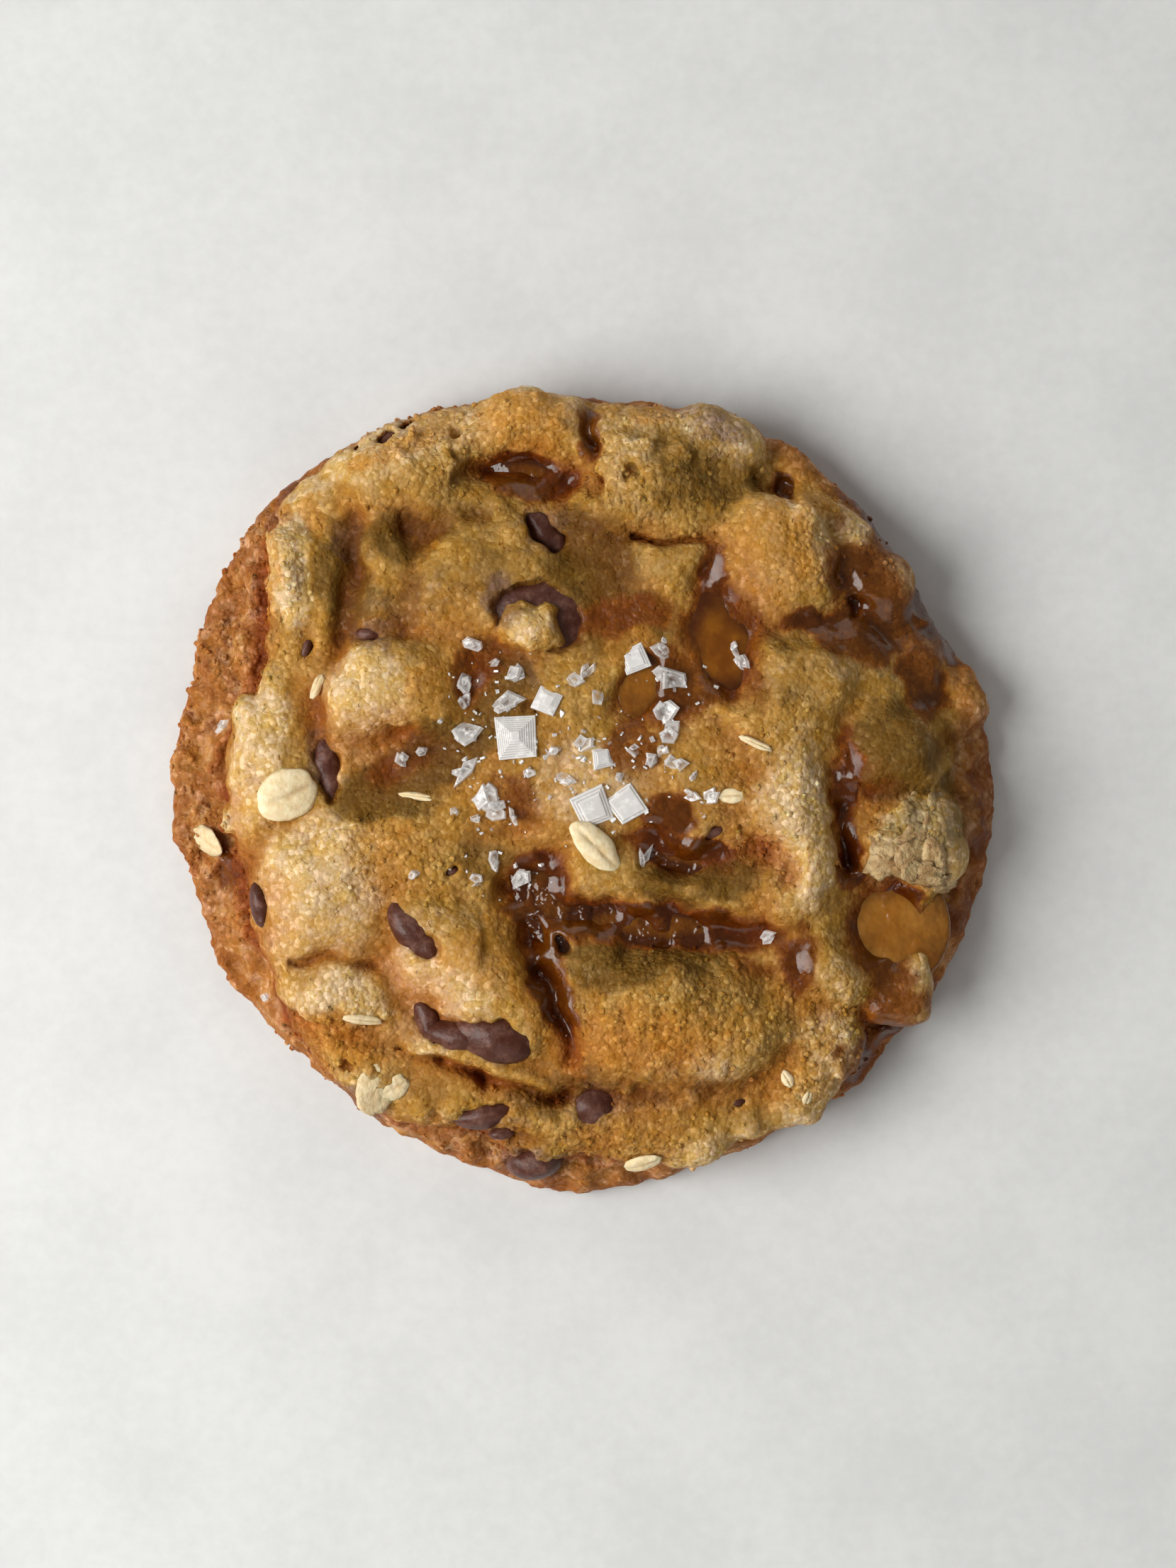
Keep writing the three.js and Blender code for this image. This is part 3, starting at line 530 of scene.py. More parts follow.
def skin_of(field, lattice):
    """Quads over the zero level of a field: one point in each cell that it passes through."""
    inside = field < 0
    shape = [n - 1 for n in field.shape]
    count = np.zeros(shape, dtype=np.int8)
    for corner in np.ndindex(2, 2, 2):
        count += inside[tuple(slice(c, c + n) for c, n in zip(corner, shape))]
    cells = np.argwhere((count > 0) & (count < 8))
    number = np.full(shape, -1)
    number[tuple(cells.T)] = np.arange(len(cells))
    total = np.zeros((len(cells), 3))
    hits = np.zeros(len(cells))
    for axis in range(3):
        for corner in np.ndindex(2, 2, 2):
            if corner[axis]:
                continue
            start = cells + corner
            end = start.copy()
            end[:, axis] += 1
            a, b = field[tuple(start.T)], field[tuple(end.T)]
            crossed = (a < 0) != (b < 0)
            point = start[crossed].astype(float)
            point[:, axis] += a[crossed] / (a[crossed] - b[crossed])
            total[crossed] += point
            hits[crossed] += 1
    points = lattice.low + lattice.step * total / hits[:, None]
    faces = []
    for axis in range(3):
        second, third = (axis + 1) % 3, (axis + 2) % 3
        u, v = np.eye(3, dtype=int)[second], np.eye(3, dtype=int)[third]
        ahead = np.moveaxis(inside, axis, 0)
        edges = np.argwhere(np.moveaxis(ahead[1:] != ahead[:-1], 0, axis))
        across, up = edges @ u, edges @ v
        edges = edges[(across > 0) & (up > 0) & (across < shape[second]) & (up < shape[third])]
        quad = np.stack([number[tuple((edges - s).T)] for s in (0 * u, u, u + v, v)], axis=1)
        inward = inside[tuple(edges.T)]
        quad[~inward] = quad[~inward][:, ::-1]
        faces.append(quad)
    return points, np.concatenate(faces)


def dough_field(lattice):
    """Distance to the dough: the base, the crust that lies on it, its lumps and creases, and the pools'
    basins, with each pool's level.
    """
    z = lattice.axes[2][None, None, :]
    swayed = lattice.swayed(LUMP_SWAY)
    x, y = lattice.flat
    away = np.hypot(x, y)
    angle = np.arctan2(y, x)
    base = away - reach_at(BASE_REACH, angle) - 0.5 * lattice.spread(5, 5) - 0.35 * lattice.spread(2.0, 6)
    crust = away - reach_at(CRUST_REACH, angle) - 0.9 * lattice.spread(6, 7) - 0.5 * lattice.spread(2.5, 8)
    dome = CRUST_RIM + (CRUST_CROWN - CRUST_RIM) * (1 - (away / 45) ** 2)
    dome -= reach_at(RIM_FALL, angle) * ease_between(away, 37, 48.5)
    base_top = BASE_TOP + 1.6 * lattice.spread(7, 9) - 1.2 * ease_between(base, -6, 0)
    base_top += 3.0 * (0.25 - np.abs(lattice.spread(4.4, 19))) + 0.4 * lattice.spread(2.2, 25)
    base_top += 2.4 * (1 - ease_between(crust, -1, 5))
    field = slab_distance(base[..., None], z, -FOOT_DROP, base_top[..., None], BASE_ROUND).astype(np.float32)
    upper = slab_distance(crust[..., None], z, CRUST_FLOOR, dome[..., None], CRUST_ROUND)
    field = joined(field, upper.astype(np.float32), 0.5)
    for lump in LUMPS:
        add_lump(field, lattice, swayed, lump, LUMP_BLEND)
    sunk = np.zeros(x.shape)
    for *run, half, depth in CREASES:
        sunk += depth * np.exp(-((run_distance(*swayed, run) / half) ** 2))
    sunk *= np.maximum(1 + 0.9 * lattice.spread(4.5, 10), 0.1)
    field += (sunk[..., None] * ease_between(z, 7, 9.5)).astype(np.float32)
    heights = column_heights(field, lattice)
    levels = [open_basin(field, lattice, swayed, pool, heights) for pool in POOLS.values()]
    return field, levels


def egg_near(lattice, grids, middle, half, turn, reach, square=2.0):
    """The slices of the lattice round an egg, and the distances to it there, from the columns' x and y."""
    cut = lattice.window(middle, reach)
    flat_x, flat_y = (grid[cut[:2]] for grid in grids)
    along, across = turned(flat_x - middle[0], flat_y - middle[1], turn)
    up = lattice.axes[2][cut[2]] - middle[2]
    egg = egg_distance(along[..., None], across[..., None], up[None, None, :], half, square)
    return cut, egg.astype(np.float32)


def add_lump(field, lattice, grids, lump, blend):
    """Joins a lump to the dough: the cap of an egg that goes on below the surface."""
    at_x, at_y, half_x, half_y, turn, crest, rise, below = lump
    depth = rise * below
    wider = 1 / math.sqrt(1 - ((depth - rise) / depth) ** 2)
    half = (half_x * wider, half_y * wider, depth)
    reach = max(half_x, half_y) * wider + 4
    middle = (at_x, at_y, crest - depth)
    cut, egg = egg_near(lattice, grids, middle, half, turn, (reach, reach, depth + 4), LUMP_SQUARE)
    field[cut] = joined(field[cut], egg, blend)


def cut_egg(field, lattice, grids, middle, half, turn):
    """Takes an egg out of the dough."""
    cut, egg = egg_near(lattice, grids, middle, half, turn, (max(half) + 2,) * 3)
    field[cut] = -joined(-field[cut], egg, POCKET_BLEND)


def open_basin(field, lattice, grids, pool, heights):
    """Opens a hollow with sloping sides for a pool, and tells the level that the dough round it can hold."""
    at_x, at_y, half_x, half_y, turn, ripple, pale = pool
    reach = max(half_x, half_y) * 1.5 + 3
    cut = lattice.window((at_x, at_y, 12), (reach, reach, 12))
    calm = min(1.6 * pale, 1)
    flat_x, flat_y = ((grid + calm * (flat - grid))[cut[:2]] for grid, flat in zip(grids, lattice.flat))
    along, across = turned(flat_x - at_x, flat_y - at_y, turn)
    away = np.hypot(along / half_x, across / half_y)
    level = np.percentile(heights[cut[:2]][(away > 0.9) & (away < 1.3)], POOL_BRIM)
    bed = level - POOL_BED + 1.1 * min(half_x, half_y) * np.maximum(away - 0.6, 0)
    bed += 2.2 * ripple * lattice.spread(2.4, 18)[cut[:2]]
    bed += min(0.25 + 2.5 * ripple, 0.8) * (1 - pale) * lattice.spread(5.5, 24)[cut[:2]]
    above = 0.55 * (lattice.axes[2][cut[2]][None, None, :] - bed[..., None])
    field[cut] = -joined(-field[cut], -above.astype(np.float32), 0.8)
    return level - 1.3 * ripple


def add_clods(field, lattice, heights):
    """Joins small clods to the crust, most of them where it crumbles."""
    draw = np.random.default_rng(15)
    spots = draw.uniform(-CLOD_FIELD, CLOD_FIELD, (CLOD_TRIES, 2))
    chance = 0.05 + 0.5 * tone_at(CRUMBLY, *spots.T) - tone_at(SOAKED_AND_PAINTED_SHADE, *spots.T)
    outside = np.hypot(*spots.T) - reach_at(BASE_REACH, np.arctan2(spots[:, 1], spots[:, 0]))
    chance += 0.6 * ease_between(outside, -9, -5)
    kept = spots[(draw.random(len(spots)) < chance) & (outside < -CLOD_MARGIN)]
    for at_x, at_y in kept:
        wide, long, tall = draw.uniform(*CLOD_SIZES, 3) * CLOD_SHAPE
        turn = draw.uniform(0, 180)
        middle = (at_x, at_y, float(lattice.at(heights, at_x, at_y)) - CLOD_SUNK * tall)
        cut, egg = egg_near(lattice, lattice.flat, middle, (long, wide, tall), turn, (long + 2,) * 3)
        field[cut] = joined(field[cut], egg, CLOD_BLEND)


def roughen(field, lattice):
    """Adds the crust's unevenness near its surface: rounded bumps with sharp creases between them."""
    near = np.argwhere(np.abs(field) < 1.6)
    points = lattice.low + lattice.step * near
    calm = tone_at(SOAKED_AND_PAINTED_SHADE, points[:, 0], points[:, 1])
    crumbly = np.maximum(tone_at(CRUMBLY, points[:, 0], points[:, 1]) - calm, 0)
    rough = 0.3 * soft_noise(points, 8.0, 11)
    crumbly += 0.3 * (1 - ease_between(points[:, 2], 6.5, 9))
    for height, extra, size, seed in ROUGHNESS:
        rough += (height + extra * crumbly) * (0.35 - np.abs(soft_noise(points, size, seed)))
    field[tuple(near.T)] += (rough * (1 - 0.75 * np.minimum(calm, 1))).astype(np.float32)


def column_heights(field, lattice):
    """Height of the uppermost surface over each column of the lattice."""
    inside = field < 0
    top = inside.shape[2] - 1 - np.argmax(inside[:, :, ::-1], axis=2)
    return np.where(inside.any(axis=2), lattice.axes[2][top], 0.0)


class Bed:
    """The dough's upper surface, smoothed, for flakes and chips to lie on."""

    def __init__(self, heights, lattice, width):
        self.lattice = lattice
        self.heights = lattice.smoothed(heights, width)
        self.slopes = np.gradient(self.heights, lattice.step)

    def height(self, x, y):
        return float(self.lattice.at(self.heights, x, y))

    def lay(self, points, x, y, turn, lean=0.0, tip=0.0, lift=0.0):
        """Points of a flake, laid on the surface at a place, turned there, and tipped about its two axes."""
        slope_x, slope_y = (float(self.lattice.at(slope, x, y)) for slope in self.slopes)
        upright = Vector((0, 0, 1)).rotation_difference(Vector((-slope_x, -slope_y, 1.4))).to_matrix()
        spin = Matrix.Rotation(math.radians(turn), 3, "Z")
        tilt = Matrix.Rotation(math.radians(lean), 3, "X") @ Matrix.Rotation(math.radians(tip), 3, "Y")
        return points @ np.array(upright @ spin @ tilt).T + (x, y, self.height(x, y) + lift)


# Meshes


def mesh_piece(name, points, faces, finish, smooth=True):
    """A new object at the origin, from points in millimetres."""
    mesh = bpy.data.meshes.new(name)
    mesh.from_pydata((np.asarray(points) * MM).tolist(), [], faces)
    mesh.polygons.foreach_set("use_smooth", [smooth] * len(mesh.polygons))
    mesh.materials.append(finish)
    piece = bpy.data.objects.new(name, mesh)
    bpy.context.scene.collection.objects.link(piece)
    return piece


def note_on_points(piece, name, values):
    """Stores a number on each point of a piece for its material to read."""
    layer = piece.data.attributes.new(name, "FLOAT", "POINT")
    layer.data.foreach_set("value", np.asarray(values, dtype=np.float32))


class Heap:
    """Many small shapes, with numbers noted on their points, that become one piece."""

    def __init__(self):
        self.points, self.faces, self.notes = [], [], {}
        self.count = 0

    def add(self, points, faces, **notes):
        self.faces.extend([[i + self.count for i in face] for face in faces])
        self.points.append(points)
        self.count += len(points)
        for name, values in notes.items():
            self.notes.setdefault(name, []).append(np.broadcast_to(values, len(points)))

    def piece(self, name, finish, smooth=True):
        made = mesh_piece(name, np.concatenate(self.points), self.faces, finish, smooth)
        for note, values in self.notes.items():
            note_on_points(made, note, np.concatenate(values))
        return made


def close_foot(mesh):
    """Flattens the open lower edge onto the table and closes it."""
    shell = bmesh.new()
    shell.from_mesh(mesh)
    rim = [edge for edge in shell.edges if edge.is_boundary]
    for vert in {vert for edge in rim for vert in edge.verts}:
        vert.co.z = 0.0
    bmesh.ops.triangle_fill(shell, edges=rim, use_beauty=True, normal=(0, 0, -1))
    bmesh.ops.recalc_face_normals(shell, faces=shell.faces)
    shell.to_mesh(mesh)
    shell.free()


def triples_of(items, name):
    """One vector of each item of a mesh, such as the places of its points."""
    flat = np.empty(3 * len(items), dtype=np.float32)
    items.foreach_get(name, flat)
    return flat.reshape(-1, 3)


def ball(rows, columns):
    """Points and faces of a unit ball with closed poles."""
    points = [(0.0, 0.0, 1.0)]
    for row in range(1, rows):
        tilt = math.pi * row / rows
        out = math.sin(tilt)
        for column in range(columns):
            angle = 2 * math.pi * column / columns
            points.append((out * math.cos(angle), out * math.sin(angle), math.cos(tilt)))
    points.append((0.0, 0.0, -1.0))
    last = len(points) - 1
    faces = []
    for column in range(columns):
        after = (column + 1) % columns
        faces.append((0, 1 + column, 1 + after))
        for row in range(rows - 2):
            a, b = 1 + row * columns, 1 + (row + 1) * columns
            faces.append((a + column, b + column, b + after, a + after))
        foot = 1 + (rows - 2) * columns
        faces.append((foot + column, last, foot + after))
    return np.array(points), faces


# Nodes


class Wire:
    """A socket of a node tree that takes part in Python expressions."""

    def __init__(self, tree, socket=None):
        self.tree = tree
        self.socket = socket

    def node(self, kind, settings, inputs, output=0):
        """A node of any type: its settings first, then the values or links of its sockets."""
        made = self.tree.nodes.new(kind)
        for name, value in settings.items():
            setattr(made, name, value)
        for name, value in inputs.items():
            if isinstance(value, Wire):
                self.tree.links.new(value.socket, made.inputs[name])
            else:
                made.inputs[name].default_value = value
        return Wire(self.tree, made.outputs[output])

    def maths(self, operation, *values, clamp=False):
        settings = {"operation": operation, "use_clamp": clamp}
        return self.node("ShaderNodeMath", settings, dict(enumerate(values)))

    def __add__(self, other):
        return self.maths("ADD", self, other)

    def __sub__(self, other):
        return self.maths("SUBTRACT", self, other)

    def __rsub__(self, other):
        return self.maths("SUBTRACT", other, self)

    def __mul__(self, other):
        return self.maths("MULTIPLY", self, other)

    __radd__ = __add__
    __rmul__ = __mul__

    def clamped(self):
        return self.maths("ADD", self, 0.0, clamp=True)

    def held(self, low, high):
        """This value, kept between two limits."""
        return self.maths("MAXIMUM", self.maths("MINIMUM", self, high), low)

    def eased(self, low, high):
        """0 below one value and 1 above the other."""
        return self.node(
            "ShaderNodeMapRange",
            {"interpolation_type": "SMOOTHSTEP"},
            {"Value": self, "From Min": low, "From Max": high},
        )

    def blend(self, below, above):
        """A colour between two, by this value."""
        inputs = {0: self}
        for place, colour in ((6, below), (7, above)):
            inputs[place] = colour if isinstance(colour, Wire) else (*colour, 1)
        return self.node("ShaderNodeMix", {"data_type": "RGBA"}, inputs, output=2)

    def tinted(self, colour, *shares):
        """A colour multiplied by a share for each of red, green and blue."""
        tint = self.node("ShaderNodeCombineColor", {}, dict(enumerate(shares)))
        multiply = {"data_type": "RGBA", "blend_type": "MULTIPLY"}
        return self.node("ShaderNodeMix", multiply, {0: 1.0, 6: colour, 7: tint}, output=2)

    def steeped(self, colour, powers):
        """A colour made lighter or darker by this value, by a power of it for each of red, green and blue."""
        return self.tinted(colour, *(self.maths("POWER", self, power) for power in powers))

    def yellowed(self, colour):
        """A colour made purer where this value is below 0, and milkier where it is above."""
        return self.tinted(colour, 1.0, self.maths("POWER", 2.0, self * 0.15), self.maths("POWER", 2.0, self))

    def noted(self, name):
        """A number stored on the piece's points."""
        return self.node("ShaderNodeAttribute", {"attribute_name": name}, {}, output=2)

    def place(self):
        return self.node("ShaderNodeTexCoord", {}, {}, output=3)

    def vector(self, operation, inputs):
        return self.node("ShaderNodeVectorMath", {"operation": operation}, inputs)

    def drift(self, amount, **noise):
        """A shift that wanders from place to place, by up to half an amount each way."""
        cloud = self.node("ShaderNodeTexNoise", {}, noise, output=1)
        centred = self.vector("SUBTRACT", {0: cloud, 1: (0.5, 0.5, 0.5)})
        return self.vector("SCALE", {0: centred, "Scale": amount})

    def strayed(self, size, amount):
        """Object coordinates that wander by up to an amount, in millimetres."""
        shift = self.drift(2 * amount * MM, Vector=self.place(), Scale=1 / (size * MM), Detail=2.0)
        return self.vector("ADD", {0: self.place(), 1: shift})

    def grain(self, size, detail=2.0, rough=0.5):
        """Fractal noise from 0 to 1 with bumps of a size in millimetres."""
        scale = {"Vector": self.place(), "Scale": 1 / (size * MM), "Detail": detail, "Roughness": rough}
        return self.node("ShaderNodeTexNoise", {}, scale)

    def cells(self, at, size, output=0):
        """Scattered cells of a size in millimetres: the distance within each, or its own chance colour."""
        inputs = {"Vector": at, "Scale": 1 / (size * MM)}
        return self.node("ShaderNodeTexVoronoi", {}, inputs, output)

    def chance(self, low, high, seed):
        """A number drawn between two for each point."""
        inputs = {2: low, 3: high, "Seed": seed}
        return self.node("FunctionNodeRandomValue", {"data_type": "FLOAT"}, inputs, output=1)

    def bump(self, height, strength):
        """A surface tilted as if raised by a height in millimetres."""
        return self.node("ShaderNodeBump", {}, {"Height": height, "Strength": strength, "Distance": MM})


# Finishes


def new_finish(name, constants):
    """A material with one principled shader, and a Wire to build its nodes with."""
    finish = bpy.data.materials.new(name)
    finish.use_nodes = True
    shader = finish.node_tree.nodes["Principled BSDF"]
    for socket, value in constants.items():
        shader.inputs[socket].default_value = value
    return finish, Wire(finish.node_tree), shader


def feed(shader, **links):
    """Links wires to the shader's sockets, named with underscores for spaces."""
    for name, wire in links.items():
        wire.tree.links.new(wire.socket, shader.inputs[name.replace("_", " ")])


GOLD = (0.385, 0.18, 0.034)
OLIVE = (0.152, 0.065, 0.0085)
STRAW = (0.58, 0.345, 0.142)
TOAST = (0.425, 0.167, 0.022)
AMBER = (0.195, 0.048, 0.003)
SYRUP = (0.09, 0.022, 0.0016)
LEDGE = (0.33, 0.12, 0.028)
PAINTED_LEDGE_HIGHLIGHT = (0.58, 0.31, 0.135)
STAIN = (0.13, 0.06, 0.042)
OATY = (0.33, 0.19, 0.065)
COCOA = (0.07, 0.019, 0.010)
BLOOM = (0.19, 0.085, 0.06)
CARAMEL = (0.16, 0.046, 0.0015)
HONEY = (0.30, 0.105, 0.004)
CREAMY = (0.50, 0.225, 0.036)
BURNT = (0.06, 0.013, 0.001)
FLAKE = (0.93, 0.80, 0.53)
HUSK = (0.78, 0.60, 0.32)
CREASE = (0.40, 0.22, 0.07)
GLAZE = (0.53, 0.365, 0.165)
GLAZE_SHADE = (0.27, 0.135, 0.03)
CRYSTAL = (0.88, 0.87, 0.855)
FROST = (0.76, 0.745, 0.73)
FLOOR = (0.66, 0.672, 0.676)
FLOOR_LIGHT = (0.735, 0.748, 0.752)
# Width of the crust's granules
GRANULE = 0.6
# How much red, green and blue fall as dough darkens: under painted shade in its hollows and valleys, and from
# crumb to crumb, where the crumbs' own tone, painted glints and painted shade between granules join
PAINTED_SHADE_STEEPING = (0.45, 1.0, 1.5)
CRUMB_STEEPING = (0.85, 1.0, 1.2)


def crust_finish():
    finish, wire, shader = new_finish(
        "baked_crust",
        {
            "Subsurface Weight": 0.6, "Subsurface Scale": 0.0014, "Subsurface Radius": (1.0, 0.5, 0.25),
            "Specular IOR Level": 0.12, "Coat Roughness": 0.1,
        },
    )
    blotch = wire.grain(4.5, 3.0, 0.5) - 0.5
    fleck = wire.grain(1.4, 2.0, 0.5) - 0.5
    stray = wire.strayed(0.9, 0.3)
    granule = wire.cells(stray, GRANULE)
    chance = wire.node("ShaderNodeSeparateColor", {}, {0: wire.cells(stray, GRANULE, output=1)}) - 0.5
    holes = wire.grain(1.0, 1.0).eased(0.68, 0.76)
    coarse = (wire.noted("crumbly") + blotch * 2.0).eased(0.0, 0.7)
    valley, ledge = wire.noted("valley"), wire.noted("ledge")
    # valley also moves the tones: more amber and olive in valleys, partly butter and syrup that gather there
    # and partly painted shade, and paler on crests, painted sheen
    wet = wire.noted("soaked_and_painted_shade") + blotch * 0.9 + fleck * 0.3 + valley * 0.1
    soaked_and_painted_shade = wet.eased(0.3, 0.9)
    olive = (wire.noted("buttery_and_painted_shade") + blotch * 1.2 + fleck * 0.3 + valley * 0.12).eased(0.1, 0.9)
    pale = wire.noted("pale") - wire.noted("buttery_and_painted_shade") * 0.4 + blotch * 0.8 + fleck * 0.4 - valley * 0.2
    pale = pale.eased(0.15, 1.0)
    toasted = (wire.noted("toasted") + blotch * 0.8 + fleck * 0.5).eased(0.2, 0.9)
    colour = olive.blend(GOLD, OLIVE)
    colour = (pale * 0.85).blend(colour, STRAW)
    colour = (toasted * 0.85).blend(colour, TOAST)
    colour = (ledge * (0.8 - blotch * 1.6).clamped()).blend(colour, LEDGE)
    # Painted highlights: pale pinkish patches scattered by noise over the ledge's crumbs
    colour = (ledge * wire.grain(2.2, 2.0).eased(0.48, 0.66) * 0.7).blend(colour, PAINTED_LEDGE_HIGHLIGHT)
    colour = ((wire.noted("stained_and_painted_shade") + fleck * 0.6).eased(0.2, 0.9) * 0.7).blend(colour, STAIN)
    colour = (wire.noted("oaty") + fleck * 0.6).eased(0.3, 0.8).blend(colour, OATY)
    colour = (wet.eased(0.05, 0.55) * 0.95).blend(colour, AMBER)
    colour = (soaked_and_painted_shade * 0.9).blend(colour, SYRUP)
    # Painted shade and sheen: the colour darkens and reddens in hollows and valleys, where shade falls, and
    # turns paler on crests, where sheen falls
    painted_shade_and_sheen = wire.noted("hollow") * 0.55 + valley * 0.25
    colour = wire.maths("POWER", 2.0, (painted_shade_and_sheen * -0.9).held(-1.5, 0.45)).steeped(colour, PAINTED_SHADE_STEEPING)
    # Painted shade in the gaps between granules, stronger where the crust is coarse
    painted_gap_shade = granule.eased(0.45, 0.75) * (0.5 + coarse * 0.5)
    # Painted glints: about a third of the granules are lightened in colour, and through chance made milkier,
    # for sugar sparkle; the same granules are also glossier
    painted_glint = chance.eased(0.15, 0.5)
    grit = wire.grain(0.4, 2.0, 0.6) - 0.5
    # shade: the crumbs' own tone from flecks, grit, each strewn crumb's draw and the ledge's blotches,
    # together with the painted glints, painted shade between granules and painted shade in the pits
    shade = 0.95 + fleck * 0.35 + painted_glint * 0.42 + grit * 0.7 - holes * coarse * 0.15 - painted_gap_shade * 0.1
    shade = shade + wire.noted("own") * 0.15 + ledge * blotch * 0.5
    colour = shade.held(0.15, 1.6).steeped(colour, CRUMB_STEEPING)
    milky = (wire.grain(3.0, 2.0) - 0.5) * 2.4 + fleck * 1.6 + chance + grit * 1.2
    colour = milky.held(-2.0, 0.4).yellowed(colour)
    dry = 1 - soaked_and_painted_shade * 0.85
    height = (fleck * 0.15 - granule * (0.13 + coarse * 0.12) - holes * 0.25) * dry
    height = height + soaked_and_painted_shade * wire.grain(1.7, 2.0) * 0.2
    roughness = 0.62 - soaked_and_painted_shade * 0.5 - painted_glint * dry * 0.32
    feed(shader, Base_Color=colour, Roughness=roughness.clamped(), Normal=wire.bump(height, 1.0))
    feed(shader, Coat_Weight=soaked_and_painted_shade * 0.6)
    return finish


def chocolate_finish():
    finish, wire, shader = new_finish("chocolate", {"Specular IOR Level": 0.35})
    bloom = wire.grain(1.6, 4.0, 0.65)
    colour = bloom.eased(0.42, 0.8).blend(COCOA, BLOOM)
    height = wire.grain(1.1, 3.0) * 0.25
    feed(shader, Base_Color=colour, Roughness=0.28 + bloom * 0.3, Normal=wire.bump(height, 0.7))
    return finish


def toffee_finish():
    finish, wire, shader = new_finish(
        "melted_toffee",
        {
            "Subsurface Weight": 0.3, "Subsurface Scale": 0.002, "Subsurface Radius": (1.0, 0.35, 0.06),
            "Specular IOR Level": 0.5,
        },
    )
    streak = wire.grain(3.2, 3.0, 0.55)
    colour = streak.eased(0.3, 0.7).blend(CARAMEL, HONEY)
    mottle = wire.grain(4.5, 3.0).eased(0.35, 0.65)
    colour = (wire.noted("pale") * (0.4 + mottle)).blend(colour, CREAMY)
    deep = (wire.noted("ripple") * 2.0).clamped() * (1.2 - streak)
    deep = (deep + wire.noted("edge") * (1.4 - streak)).clamped() * (1 - wire.noted("pale") * 0.9)
    colour = deep.blend(colour, BURNT)
    height = wire.grain(1.8, 2.0) * wire.noted("ripple") * 2.4 + wire.grain(0.5, 2.0) * 0.04
    height = height + wire.noted("pale") * wire.grain(2.4, 2.0) * 1.4
    feed(shader, Base_Color=colour, Roughness=0.08 + streak * 0.16, Normal=wire.bump(height, 0.8))
    return finish


def oat_finish():
    finish, wire, shader = new_finish("rolled_oat", {"Subsurface Weight": 0.15, "Subsurface Scale": 0.001})
    husk = wire.grain(1.1, 3.0, 0.6)
    colour = husk.eased(0.3, 0.75).blend(FLAKE, HUSK)
    colour = (wire.noted("crease") * 0.7).blend(colour, CREASE)
    crust = wire.grain(2.0, 3.0, 0.6).eased(0.35, 0.65).blend(GLAZE, GLAZE_SHADE)
    colour = wire.noted("glaze").blend(colour, crust)
    height = wire.grain(0.5, 3.0) * (0.12 + wire.noted("glaze") * 0.4)
    feed(shader, Base_Color=colour, Roughness=0.45 + husk * 0.3, Normal=wire.bump(height, 0.7))
    return finish


def salt_finish():
    finish, wire, shader = new_finish("flaked_salt", {"IOR": 1.5, "Specular IOR Level": 0.8})
    frost = wire.grain(0.9, 3.0, 0.65)
    colour = frost.eased(0.3, 0.7).blend(CRYSTAL, FROST)
    clear = wire.noted("clear") + wire.maths("MAXIMUM", wire.noted("own"), 0.0) * 0.8
    clear = (clear * frost.eased(0.26, 0.5)).clamped()
    feed(shader, Base_Color=colour, Roughness=frost.eased(0.35, 0.7) * 0.3 + 0.05, Alpha=1 - clear)
    return finish


def stone_finish():
    finish, wire, shader = new_finish("pale_floor", {"Specular IOR Level": 0.3})
    cloud = wire.grain(18, 3.0, 0.5)
    speck = wire.grain(1.8, 3.0, 0.6)
    colour = (cloud * 0.6 + speck * 0.4).eased(0.3, 0.7).blend(FLOOR, FLOOR_LIGHT)
    feed(shader, Base_Color=colour, Roughness=0.45 + speck * 0.2)
    return finish


# Pieces


def make_dough(finish):
    """The crust, with its bed for what lies on it and the level of each pool."""
    lattice = Lattice(LATTICE_LOW, LATTICE_HIGH, LATTICE_STEP)
    field, levels = dough_field(lattice)
    add_clods(field, lattice, column_heights(field, lattice))
    roughen(field, lattice)
    bed = Bed(column_heights(field, lattice), lattice, BED_WIDTH)
    ragged = lattice.swayed(POCKET_SWAY)
    for at_x, at_y, half_x, half_y, turn, _ in ALL_CHIPS:
        middle = (at_x, at_y, bed.height(at_x, at_y) + POCKET_RISE)
        cut_egg(field, lattice, ragged, middle, (half_x, half_y, POCKET_DEPTH), turn)
    for at_x, at_y, radius, depth in PITS:
        middle = (at_x, at_y, bed.height(at_x, at_y) + PIT_RISE)
        cut_egg(field, lattice, ragged, middle, (radius, radius, depth), 0)
    for cap in CAPS:
        add_lump(field, lattice, ragged, cap, POCKET_BLEND)
    points, faces = skin_of(field, lattice)
    dough = mesh_piece("dough_crust", points, faces.tolist(), finish)
    close_foot(dough.data)
    shape_crumb(dough)
    paint_crust(dough, lattice, column_heights(field, lattice))
    return dough, bed, levels


